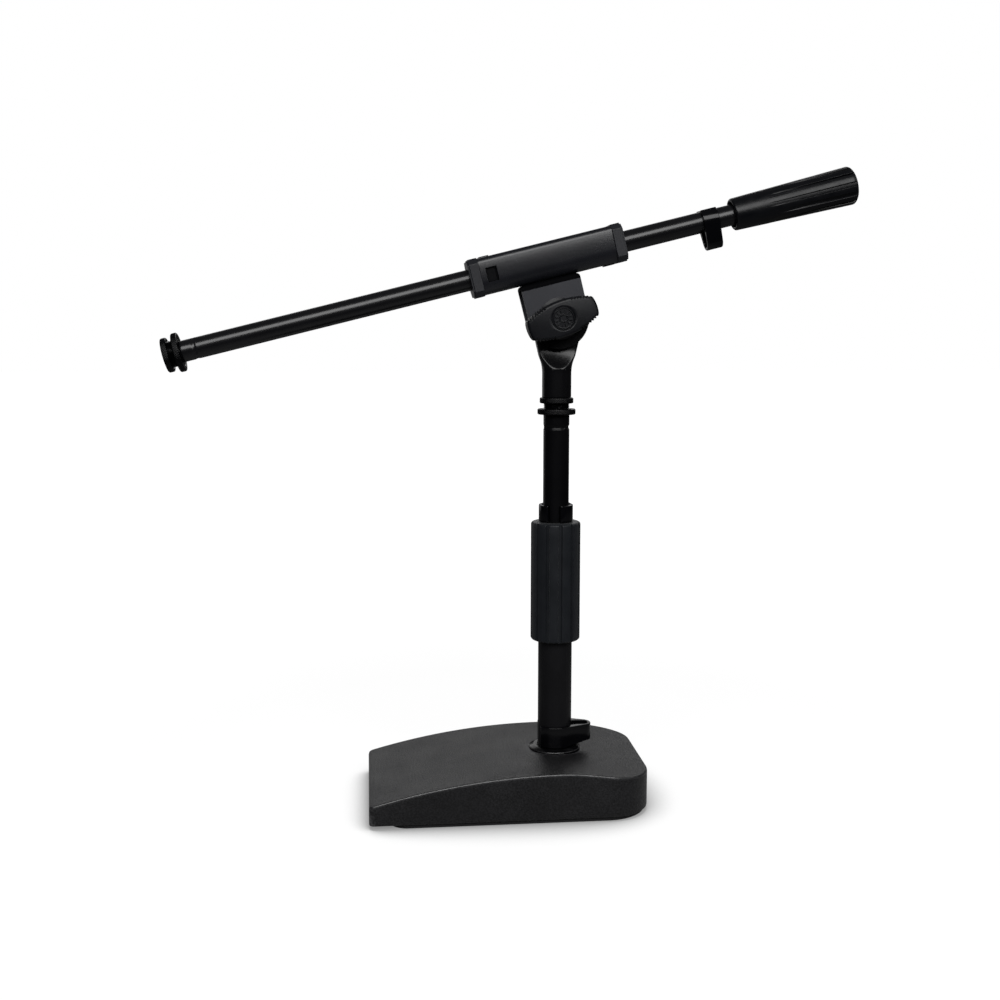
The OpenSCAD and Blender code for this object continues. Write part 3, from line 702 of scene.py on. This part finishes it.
def make_clips():
    tube = span("lower_tube", UPRIGHT)[1].x
    low, high = span("cable_clip_lower", UPRIGHT)
    lower = clip(tube + CLIP_FIT, CLIP_WALL, LOWER_LOOP_R, high.x - LOWER_LOOP_R, LOWER_MOUTH,
                 low.z, high.z, (tube + LOOP_STEP_START, LOOP_STEP))
    piece("cable_clip_lower_moulded", lower, UPRIGHT, clip_plastic, ["cable_clip_lower"])

    tube = span("pole_insert", UPRIGHT)[1].x
    low, high = span("cable_clip_middle", UPRIGHT)
    middle = clip(tube + CLIP_FIT, MIDDLE_CLIP_WALL, MIDDLE_LOOP_R, MIDDLE_REACH, MIDDLE_MOUTH,
                  low.z, high.z)
    piece("cable_clip_middle_moulded", turned(middle, MIDDLE_TURN), UPRIGHT, clip_plastic,
          ["cable_clip_middle"])

    tube = span("boom_tube", BOOM)[1].x
    low, high = span("cable_clip_boom", BOOM)
    upper = clip(tube + CLIP_FIT, CLIP_WALL, BOOM_LOOP_R, high.x - BOOM_LOOP_R, BOOM_MOUTH, low.z, high.z)
    piece("cable_clip_boom_moulded", upper, BOOM, clip_plastic, ["cable_clip_boom"])


# ---- threads and rings ----

OUTER_PITCH, OUTER_DEPTH = 25.4 / 27, 0.52
INNER_PITCH, INNER_DEPTH = 25.4 / 16, 0.75
KNURL = 1.15
KNURL_DEPTH = 0.26
SPIGOT_R = {"pole_insert": 6.9, "mic_insert": 5.3}
THREAD_LENGTH = 10.2
INNER_THREAD_R = 4.7625
THREAD_ROWS = 96
RING_BORE, RING_EDGE = 7.99, 0.75


def thread(major, depth, pitch, z, angle):
    """Radius of a helical thread at height z: full at the crests, depth smaller in the roots."""
    phase = (z / pitch - angle / (2 * math.pi)) % 1
    root = min(max((abs(phase - 0.5) * 2 - 0.15) / 0.7, 0), 1)
    return major - depth * root


def threaded_end(name, node, place, sign):
    """End piece with a thread outside and inside; sign tells which way its tip points in z."""
    low, high = span(node, place)
    tip, back = (high.z, low.z) if sign > 0 else (low.z, high.z)
    shoulder = tip - sign * THREAD_LENGTH
    major = high.x
    spigot = SPIGOT_R[node]
    small = INNER_THREAD_R
    turns = np.linspace(0, 2 * math.pi, 144, endpoint=False)
    rings = []

    def ring(reach, z):
        reach = np.broadcast_to(reach, turns.shape)
        rings.append(np.stack([reach * np.cos(turns), reach * np.sin(turns), np.full(len(turns), z)], 1))

    ring(spigot, back)
    ring(spigot, shoulder)
    ring(major - OUTER_DEPTH, shoulder)
    for z in np.linspace(shoulder, tip, THREAD_ROWS):
        left = abs(tip - z)
        limit = major - max(0, 0.7 - left)
        cut = np.array([thread(major, OUTER_DEPTH, OUTER_PITCH, z, t) for t in turns])
        ring(np.minimum(cut, limit), z)
    ring(small + 0.9, tip)
    for z in np.linspace(tip, shoulder, THREAD_ROWS):
        left = abs(tip - z)
        limit = small - INNER_DEPTH + max(0, 0.8 - left)
        cut = np.array([small - INNER_DEPTH * (1 - thread(1, 1, INNER_PITCH, z, t)) for t in turns])
        ring(np.maximum(cut, limit), z)
    ring(small - INNER_DEPTH, shoulder - sign * 0.2)
    ring(0.0, shoulder - sign * 1.2)
    piece(name, loft(rings, cap=True), place, ring_coat, [node])


def knurled(r, t, lift):
    """Share of the knurl's depth left standing at angle t and height lift: 1 on a diamond's top."""
    count = round(2 * math.pi * r / KNURL)
    a = (count * t / (2 * math.pi) + lift / KNURL) % 1
    b = (count * t / (2 * math.pi) - lift / KNURL) % 1
    return min(abs(a - 0.5), abs(b - 0.5)) * 2


def make_ring(name, node, place):
    low, high = span(node, place)
    rim, edge, bore = high.x, RING_EDGE, RING_BORE
    across = high.z - low.z
    middle = (high.z + low.z) / 2
    outline = [(bore, high.z - 0.4), (bore, low.z + 0.4), (bore + 0.4, low.z)]
    outline += [(rim - edge * out, low.z + edge * drop) for out, drop in reversed(quarter(5))]
    outline += [(rim, z) for z in np.linspace(low.z + edge, high.z - edge, 15)[1:-1]]
    outline += [(rim - edge * out, high.z - edge * drop) for out, drop in quarter(5)]
    outline += [(bore + 0.4, high.z)]

    def shape(r, angle, z):
        if r < rim - 0.45:
            return r
        fade = min(1, (across / 2 - abs(z - middle)) / 0.45)
        return r - KNURL_DEPTH * fade * (1 - knurled(rim, angle, z - middle))

    piece(name, lathe(outline, 512, shape), place, ring_coat, [node], 50)


def make_thread_hardware():
    threaded_end("pole_insert_threaded", "pole_insert", UPRIGHT, 1)
    threaded_end("mic_insert_threaded", "mic_insert", BOOM, -1)
    make_ring("pole_stop_ring_knurled", "pole_stop_ring", UPRIGHT)
    make_ring("pole_lock_ring_knurled", "pole_lock_ring", UPRIGHT)
    make_ring("mic_stop_ring_knurled", "mic_stop_ring", BOOM)
    make_ring("mic_lock_ring_knurled", "mic_lock_ring", BOOM)


# ---- head ----

NECK_TOP = 266.0
FLARE_TOP = 285.5
SCOOP_FOOT = 268.0
SCOOP_H = 13.0
SCOOP_CURVE = 1.9
TONGUE_HALF = 3.6
NECK_R = 8.9
FLARE_SHARE = 0.87
SQUARENESS = 24


def make_neck():
    low, high = span("head_socket", UPRIGHT)
    pivot = PIVOT.z / MM
    tongue_r = high.z - pivot
    flare_r = tongue_r * FLARE_SHARE

    def width(z):
        """Half width in x: neck, trumpet and the tongue's round end."""
        if z < NECK_TOP:
            return NECK_R
        t = min((z - NECK_TOP) / (FLARE_TOP - NECK_TOP), 1)
        round_end = math.sqrt(max(tongue_r ** 2 - (z - pivot) ** 2, 0))
        if z >= pivot:
            return round_end
        blend = t - 0.12 * math.sin(2 * math.pi * min(t, 0.5))
        return max(NECK_R + (flare_r - NECK_R) * blend, round_end if t >= 1 else 0)

    def depth(z):
        """Half depth in y: full in the neck, scooped down to the tongue."""
        if z < SCOOP_FOOT:
            return 3 * NECK_R
        return TONGUE_HALF + (NECK_R - TONGUE_HALF) * max(1 - (z - SCOOP_FOOT) / SCOOP_H, 0) ** SCOOP_CURVE

    turns = np.linspace(0, 2 * math.pi, 320, endpoint=False)
    rings = []
    heights = [low.z + 0.4 * drop for _, drop in reversed(quarter(3))]
    edges = [0.4 * out for out, _ in reversed(quarter(3))]
    heights += list(np.linspace(low.z + 1, SCOOP_FOOT - 0.05, 16))
    heights += list(SCOOP_FOOT + SCOOP_H * np.linspace(0, 1, 64) ** 1.3)
    heights += list(np.linspace(SCOOP_FOOT + SCOOP_H, pivot, 24)[1:])
    heights += list(pivot + tongue_r * np.sin(np.radians(np.linspace(2, 89, 30))))
    edges += [0.0] * (len(heights) - len(edges))
    for z, edge in zip(heights, edges):
        x, y = width(z) - edge, depth(z)
        flat = min(max((z - FLARE_TOP) / 5, 0), 1)
        c, s = np.abs(np.cos(turns)) + 1e-9, np.abs(np.sin(turns)) + 1e-9
        side = x * (1 - flat) + x / c * flat
        reach = (side ** -SQUARENESS + (y / s) ** -SQUARENESS) ** (-1 / SQUARENESS)
        rings.append(np.c_[reach * np.cos(turns), reach * np.sin(turns), np.full(len(turns), z)])
    piece("head_socket_cast", loft(rings), UPRIGHT, neck_coat, ["head_socket"], 50)


FOLD_R = 3.0
# Above the seam, SEAM_DROP below the bracket's top, the bracket gets painted shade; SEAM_STEP sets that strip
# back.
SEAM_DROP = 3.4
SEAM_STEP = 0.3
# Below this height the cheeks' lower ends get the painted shadow of the knob.
SHADED_END = -8.0
SLEEVE_HALF = 11.0
CAD_CORNER, TOP_CORNER = 4.0, 3.2
LOW_CORNER_Y, LOW_CORNER_Z = 6.0, 8.2
CROWN = 0.8
TAB_DEPTH = 9.3
TAB_X = -32.9
TAB_NARROW = 0.75
BOLT_HEAD_H, BOLT_HEAD_R, BOLT_R = 3.2, 7.5, 4.0


def sleeve_form(at):
    """Sleeve vertex with tight top corners, wide lower ones and slightly rounded sides."""
    s, y, z = at.x, at.y, at.z - BOOM_RISE
    flat = SLEEVE_HALF - CAD_CORNER
    out_y, out_z = abs(y) - flat, abs(z) - flat
    outside = abs(y) > SLEEVE_HALF - 0.3 or math.hypot(max(out_y, 0), max(out_z, 0)) > CAD_CORNER - 0.3
    if not outside or out_y < -0.01:
        return at
    if z > 0 and out_z > -0.01:
        turn = math.atan2(max(out_z, 0), max(out_y, 0))
        y = math.copysign(SLEEVE_HALF - TOP_CORNER * (1 - math.cos(turn)), y)
        z = SLEEVE_HALF - TOP_CORNER * (1 - math.sin(turn))
    drop = LOW_CORNER_Z - SLEEVE_HALF - z
    if drop > 0:
        y = math.copysign(
            SLEEVE_HALF - LOW_CORNER_Y * (1 - math.sqrt(max(1 - (drop / LOW_CORNER_Z) ** 2, 0))), y)
    y -= math.copysign(CROWN * (z / SLEEVE_HALF) ** 2 * (abs(y) / SLEEVE_HALF) ** 4, y)
    return Vector((s, y, z + BOOM_RISE))


def on_tab(at):
    """Whether a point of the left cap is on the front of its side tab."""
    return at.y < -10.0 and at.x > -40.0 and abs(at.z - BOOM_RISE) < 4.5


def tab_form(at):
    """Left cap vertex with the side tab narrower and set deeper in its window."""
    return Vector((TAB_X + TAB_NARROW * (at.x - TAB_X), -TAB_DEPTH, at.z)) if on_tab(at) else at


def make_head():
    """Bracket, sleeve with its caps, brake block and the pivot's bolt and washer."""
    low, high = span("boom_bracket", HEAD)
    seam = high.z - SEAM_DROP

    def fold(at):
        return abs(at.z - high.z) < 0.1 and abs(abs(at.y) - high.y) < 0.1

    def stepped(at):
        if at.z > seam + 0.1 and abs(at.y) > high.y - FOLD_R - 0.1:
            return Vector((at.x, at.y - math.copysign(SEAM_STEP, at.y), at.z))
        return at

    # Material by height: painted shade above the seam, painted shadow of the knob below SHADED_END.
    def painted_shade_band(at):
        return 1 if at.z > seam else 2 if at.z < SHADED_END else 0

    eased("boom_bracket_pressed", "boom_bracket", (bracket_coat, shade_coat, knob_shadow_coat), 0.3,
          cuts=(seam, seam + 0.2, SHADED_END), move=stepped, fold=(fold, FOLD_R), pick=painted_shade_band)
    across = BOOM_RISE + np.linspace(CAD_CORNER - SLEEVE_HALF, SLEEVE_HALF - CAD_CORNER, 15)[1:-1]
    eased("boom_sleeve_extruded", "boom_sleeve", (sleeve_coat,), 0.3, cuts=across, move=sleeve_form)
    # The side tab in the window gets the darker coat, painted shade in the recess.
    eased("sleeve_cap_left_moulded", "sleeve_cap_left", (cap_plastic, tab_shade_plastic), 0.4, move=tab_form,
          pick=lambda at: at.x > -37.5)
    eased("sleeve_cap_right_moulded", "sleeve_cap_right", (cap_plastic,), 0.4)
    eased("brake_block_moulded", "brake_block", (nylon,), 0.3)

    low, high = span("pivot_bolt", BOLT)
    head = low.z + BOLT_HEAD_H
    outline = [(0, low.z + 1.6), (2.2, low.z + 1.6), (2.5, low.z + 0.3), (2.8, low.z)]
    outline += [(3 + 4.5 * math.sin(t), low.z + 2.4 * (1 - math.cos(t)))
                for t in np.radians(np.linspace(8, 88, 9))]
    outline += [(BOLT_HEAD_R, head - 0.3), (BOLT_HEAD_R - 0.3, head), (BOLT_R, head),
                (BOLT_R, high.z - 0.6), (BOLT_R - 0.6, high.z), (0, high.z)]
    piece("pivot_bolt_headed", lathe(outline, 96), BOLT, collar_coat, ["pivot_bolt"])

    low, high = span("pivot_washer", BOLT)
    bore = BOLT_R + 0.05
    ring = rounded([(bore, low.z, 0.15), (high.x, low.z, 0.4),
                    (high.x, high.z, 0.5), (bore, high.z, 0.15)], 4)
    piece("pivot_washer_stamped", lathe(ring, 160), BOLT, collar_coat, ["pivot_washer"])


# ---- wing knob ----

KNOB_EDGE_R = 50.0
KNOB_WIDTH = 21.2
TEETH_PITCH = 1.75
TEETH_DEPTH = 1.1
TEETH_FROM, TEETH_TO = 7.5, 20.0
KNOB_EDGE = 1.7
KNOB_DOME = 2.4
HUB_R, INSERT_R, STEM_R, DISH_R = 12.5, 6.4, 4.3, 7.1


def make_knob():
    low, high = span("tilt_knob", KNOB)
    tip = high.x
    wing_back = low.z + 1.7
    centre = KNOB_EDGE_R - KNOB_WIDTH / 2
    turns = np.linspace(0, 2 * math.pi, 1080, endpoint=False)
    c, s = np.cos(turns), np.abs(np.sin(turns))
    long_edge = -centre * s + np.sqrt(KNOB_EDGE_R ** 2 - (centre * c) ** 2)
    soft = 28
    rim = (np.full_like(turns, tip) ** -soft + long_edge ** -soft) ** (-1 / soft)
    rim *= tip / rim.max()
    outline = resample(np.stack([rim * c, rim * np.sin(turns)], 1), len(turns))
    along = np.abs(outline[:, 0])
    toothed = np.clip(along - TEETH_FROM, 0, 1) * np.clip((TEETH_TO - along) / 0.8, 0, 1)
    teeth = TEETH_DEPTH * toothed * (0.5 + 0.5 * np.cos(2 * math.pi * outline[:, 0] / TEETH_PITCH))
    towards = outline - inset(outline, 1.0)
    bearing = np.arctan2(outline[:, 1], outline[:, 0])
    rings = []

    def ring(points, z):
        rings.append(np.c_[points, np.broadcast_to(z, len(points))])

    def circle(r, z):
        ring(np.stack([r * np.cos(bearing), r * np.sin(bearing)], 1), z)

    def edge(out, bite):
        """The rim moved in by out, with teeth cut to a share bite of their depth."""
        return outline - towards * (out + teeth * bite)[:, None]

    def crown(points):
        """Height of the domed face at each point."""
        return high.z - KNOB_DOME * (np.linalg.norm(points, axis=1) / tip) ** 2

    circle(INSERT_R, low.z)
    circle(HUB_R - 0.5, low.z)
    circle(HUB_R, low.z + 0.5)
    back = edge(1.6, 0)
    reach = np.linalg.norm(back, axis=1)
    ring(back * np.minimum(1, HUB_R / reach)[:, None], wing_back)
    for out, drop in reversed(quarter(4)):
        ring(edge(1.2 * out, 1), wing_back + 1.2 * drop)
    for z in np.linspace(wing_back + 1.2, high.z - KNOB_EDGE - 1.0, 5)[1:]:
        ring(edge(0, 1), z)
    for out, drop in quarter(8)[1:]:
        points = edge(KNOB_EDGE * out, drop ** 0.25)
        ring(points, crown(points) - KNOB_EDGE * drop)
    face = edge(KNOB_EDGE, 0)
    middle = (DISH_R + 0.35) * np.stack([np.cos(bearing), np.sin(bearing)], 1)
    for t in np.linspace(0, 1, 9)[1:]:
        points = face * (1 - t) + middle * t
        ring(points, crown(points))
    dish = high.z - KNOB_DOME * (DISH_R / tip) ** 2
    circle(DISH_R, dish - 0.3)
    circle(DISH_R, high.z - 1.2)
    circle(STEM_R, high.z - 1.2)
    circle(STEM_R, high.z - 2.0)
    circle(INSERT_R - 0.4, high.z - 2.0)
    circle(INSERT_R - 0.4, low.z + 0.4)
    piece("tilt_knob_moulded", loft(rings, closed=True), KNOB, knob_plastic, ["tilt_knob"], 50)

    low, high = span("knob_cap", KNOB)
    piece("knob_cap_moulded", medallion_shape(low, high), KNOB, medallion, ["knob_cap"], 60)


RELIEF = 0.6
BARS = 12


def medallion_shape(low, high):
    """Round cap with two raised rims and a ring of small bars between them."""
    turns = np.linspace(0, 2 * math.pi, 288, endpoint=False)
    bars = np.clip(np.cos(turns * BARS) * 3, 0, 1)

    def rise(r):
        rim = sum(np.clip(1.4 - abs(r - c) / 0.28, 0, 1) for c in (6.0, 2.2))
        between = bars if 3.0 < r < 5.1 else 0 * turns
        return np.maximum(rim, between)

    rings = [np.c_[r * np.cos(turns), r * np.sin(turns), np.full(len(turns), z)]
             for r, z in ((0.02, low.z), (high.x - 0.1, low.z), (high.x, low.z + 0.1),
                          (high.x, high.z - 0.2), (high.x - 0.2, high.z))]
    for r in np.linspace(high.x - 0.35, 0.02, 52):
        rings.append(np.c_[r * np.cos(turns), r * np.sin(turns), high.z - RELIEF * (1 - rise(r))])
    return loft(rings)


# ---- boom ----

HANDLE_SMALL_R = 9.7
HANDLE_END_R = 3.0
FLUTE_HALF = 1.45
FLUTE_RISE = 0.28


def make_boom():
    """Boom tube and the handle on its end."""
    low, high = span("boom_tube", BOOM)
    radius = high.x
    outline = [(r, low.z + high.z - z) for r, z in drawn(radius, radius - UPPER_WALL, low.z, high.z)]
    shape = lathe(outline, 240, crimped(radius, low.z + BOOM_CRIMP, BOOM_CRIMP_DEPTH))
    piece("boom_tube_drawn", shape, BOOM, boom_coat, ["boom_tube"])

    low, high = span("handle_grip", BOOM)
    small, big = HANDLE_SMALL_R, high.x
    floor = small + FLUTE_RISE * (big - small)
    bore = radius + 0.05
    tube_end = span("boom_tube", BOOM)[1].z

    def cone(z):
        """Radius of the handle between its small and its big end."""
        return small + (big - small) * min((z - low.z) / (high.z - low.z - HANDLE_END_R), 1)

    def fluted(r, angle, z):
        """Radius with the flutes cut down to the small end's level."""
        if r <= floor or z < low.z + 4:
            return r
        step = 2 * math.pi / GROOVES
        off = abs((angle / step + 0.5) % 1 - 0.5) * step * big
        if off > FLUTE_HALF:
            return r
        return r - (r - floor) * min((FLUTE_HALF - off) / 0.4, 1)

    outline = [(bore, tube_end), (bore, low.z + 3), (small - 2, low.z + 3), (small - 2, low.z + 0.4),
               (small - 1.8, low.z + 0.1), (small - 1.4, low.z)]
    outline += arc(small - 1.3, low.z + 1.35, 1.35, 275, 358, 6)
    outline += [(cone(z), z) for z in np.linspace(low.z + 2.2, high.z - HANDLE_END_R - 1.2, 40)]
    outline += arc(big - HANDLE_END_R, high.z - HANDLE_END_R - 0.6, HANDLE_END_R, 3, 75, 10)
    outline += [(big * 0.5, high.z - 0.25), (0, high.z - 0.02), (0, tube_end)]
    piece("handle_grip_moulded", lathe(outline, 720, fluted), BOOM, handle_rubber, ["handle_grip"], 45)


# ---- hidden fittings that stay as the CAD has them ----

KEPT = {
    "foot_plug": zinc_steel, "clutch_seat": zinc_steel, "clutch_collet": nylon, "clutch_nut": zinc_steel,
    "pole_bush": nylon, "head_stud": zinc_steel, "friction_discs": nylon, "knob_insert": brass,
    "boom_end_plug": nylon,
}


def keep_fittings():
    for node, material in KEPT.items():
        obj = frame["nodes"][node]
        weld = obj.modifiers.new("welded", "WELD")
        weld.merge_threshold = 1e-6
        edge = obj.modifiers.new("eased_edges", "BEVEL")
        edge.width, edge.segments, edge.angle_limit = 0.12 * MM, 2, math.radians(40)
        obj.data.materials.clear()
        obj.data.materials.append(material)


# ---- stage, light and camera ----

FLOOR_FRONT, FLOOR_BACK, FLOOR_HALF = -0.5, 9.0, 9.0
# Reach of the floor's painted shadow, and its painted glow inside the shadow, near the object and far off.
SHADE_REACH = 0.075
SHADE_GLOW, NEAR_GLOW, FAR_GLOW = 0.28, 0.90, 1.03


def make_stage():
    """A pale sheet that glows for camera rays only, with a painted soft shadow close round the object."""
    n = Nodes("pale_floor_painted_glow_and_shadow")
    paths = n.add("ShaderNodeLightPath")
    n.shader.inputs["Roughness"].default_value = 0.75
    n.shader.inputs["Specular IOR Level"].default_value = 0.05
    pale = n.ramp(n.noise(3), 0.2, 0.8, 0.12, 0.13)
    distance = n.add("ShaderNodeVectorMath", operation="LENGTH")
    n.link(n.place, distance.inputs[0])
    # For rays other than the camera's the floor darkens away from the object: painted dimming of its reflections
    # and bounce.
    bounce = n.ramp(distance.outputs["Value"], 0.18, 0.36, 0.33, 0.12)
    n.link(n.mix(paths.outputs["Is Camera Ray"], bounce, pale), n.shader.inputs["Base Color"])
    # Camera-ray glow brightest far off and dimmed by ambient occlusion near the base: painted shadow.
    spread = n.ramp(distance.outputs["Value"], 0.3, 0.95, NEAR_GLOW, FAR_GLOW)
    shade = n.add("ShaderNodeAmbientOcclusion", samples=24)
    shade.inputs["Distance"].default_value = SHADE_REACH
    glow = n.mix(1.0, spread, n.ramp(shade.outputs["AO"], 0.48, 0.86, SHADE_GLOW, 1.0), "MULTIPLY")
    n.link(n.mix(paths.outputs["Is Camera Ray"], (0, 0, 0), glow), n.shader.inputs["Emission Color"])
    n.shader.inputs["Emission Strength"].default_value = 1.0
    corners = [(-FLOOR_HALF, FLOOR_FRONT, 0), (FLOOR_HALF, FLOOR_FRONT, 0),
               (FLOOR_HALF, FLOOR_BACK, 0), (-FLOOR_HALF, FLOOR_BACK, 0)]
    mesh = bpy.data.meshes.new("floor")
    mesh.from_pydata(corners, [], [(0, 1, 2, 3)])
    mesh.materials.append(n.material)
    floor = bpy.data.objects.new("floor", mesh)
    bpy.context.scene.collection.objects.link(floor)


def softbox(name, place, target, width, height, power):
    """Area light of width by height metres aimed at target."""
    lamp = bpy.data.lights.new(name, "AREA")
    lamp.shape = "RECTANGLE"
    lamp.size, lamp.size_y = width, height
    lamp.energy = power
    obj = bpy.data.objects.new(name, lamp)
    bpy.context.scene.collection.objects.link(obj)
    obj.location = place
    aim = Vector(target) - Vector(place)
    obj.rotation_euler = aim.to_track_quat("-Z", "Y").to_euler()
    obj.visible_camera = False


def make_light():
    """Softboxes in a dim room whose backdrop the camera sees as white."""
    softbox("front_softbox", (-0.05, -1.05, 0.93), (0.0, 0.0, 0.30), 1.7, 0.62, 24.5)
    softbox("back_softbox", (0.35, 1.6, 0.95), (0.0, 0.0, 0.05), 2.2, 0.8, 7.5)
    softbox("right_softbox", (1.1, -0.35, 0.85), (0.0, 0.0, 0.15), 0.5, 0.7, 1.6)
    softbox("left_back_softbox", (-0.9, 1.5, 0.25), (0.0, 0.0, 0.25), 1.4, 0.5, 1.1)
    world = bpy.data.worlds.new("studio")
    bpy.context.scene.world = world
    world.use_nodes = True
    tree = world.node_tree
    links = tree.links
    direction = tree.nodes.new("ShaderNodeTexCoord")
    height = tree.nodes.new("ShaderNodeSeparateXYZ")
    links.new(direction.outputs["Generated"], height.inputs[0])
    ramp = tree.nodes.new("ShaderNodeValToRGB")
    ramp.color_ramp.interpolation = "B_SPLINE"
    for at, tone in ((0.0, 0.03), (0.2, 0.06), (0.45, 0.09), (0.8, 0.11)):
        element = ramp.color_ramp.elements[0] if at == 0 else ramp.color_ramp.elements.new(at)
        element.position = at
        element.color = (tone, tone, tone * 1.03, 1)
    last = ramp.color_ramp.elements[-1]
    last.color = (0.11, 0.11, 0.115, 1)
    links.new(height.outputs["Z"], ramp.inputs["Fac"])
    room = tree.nodes["Background"]
    links.new(ramp.outputs["Color"], room.inputs["Color"])
    backdrop = tree.nodes.new("ShaderNodeBackground")
    backdrop.inputs["Color"].default_value = (1, 1, 1, 1)
    paths = tree.nodes.new("ShaderNodeLightPath")
    mix = tree.nodes.new("ShaderNodeMixShader")
    links.new(paths.outputs["Is Camera Ray"], mix.inputs["Fac"])
    links.new(room.outputs["Background"], mix.inputs[1])
    links.new(backdrop.outputs["Background"], mix.inputs[2])
    links.new(mix.outputs["Shader"], tree.nodes["World Output"].inputs["Surface"])


CAMERA_PLACE = Vector((-0.1143, -0.7618, 0.2890))
CAMERA_TURN, CAMERA_DROP, CAMERA_ROLL = (math.radians(a) for a in (5.97, 7.52, 0.04))
CAMERA_LENS = 45.32


def make_camera():
    """Camera in front of the wide side, a little above the head, looking slightly down."""
    camera = bpy.data.objects.new("camera", bpy.data.cameras.new("camera"))
    bpy.context.scene.collection.objects.link(camera)
    camera.data.sensor_width = 36
    camera.data.lens = CAMERA_LENS
    level = math.cos(CAMERA_DROP)
    ahead = Vector((math.sin(CAMERA_TURN) * level, math.cos(CAMERA_TURN) * level, -math.sin(CAMERA_DROP)))
    right = Vector((math.cos(CAMERA_TURN), -math.sin(CAMERA_TURN), 0))
    up = right.cross(ahead)
    basis = Matrix((right, up, -ahead)).transposed()
    camera.matrix_world = (Matrix.Translation(CAMERA_PLACE) @ basis.to_4x4()
                           @ Matrix.Rotation(CAMERA_ROLL, 4, "Z"))
    bpy.context.scene.camera = camera
    bpy.context.scene.view_settings.view_transform = "Standard"


make_camera()
make_base()
make_foot_fasteners()
make_pole()
make_grip()
make_clips()
make_thread_hardware()
make_neck()
make_head()
make_knob()
make_boom()
keep_fittings()
make_stage()
make_light()
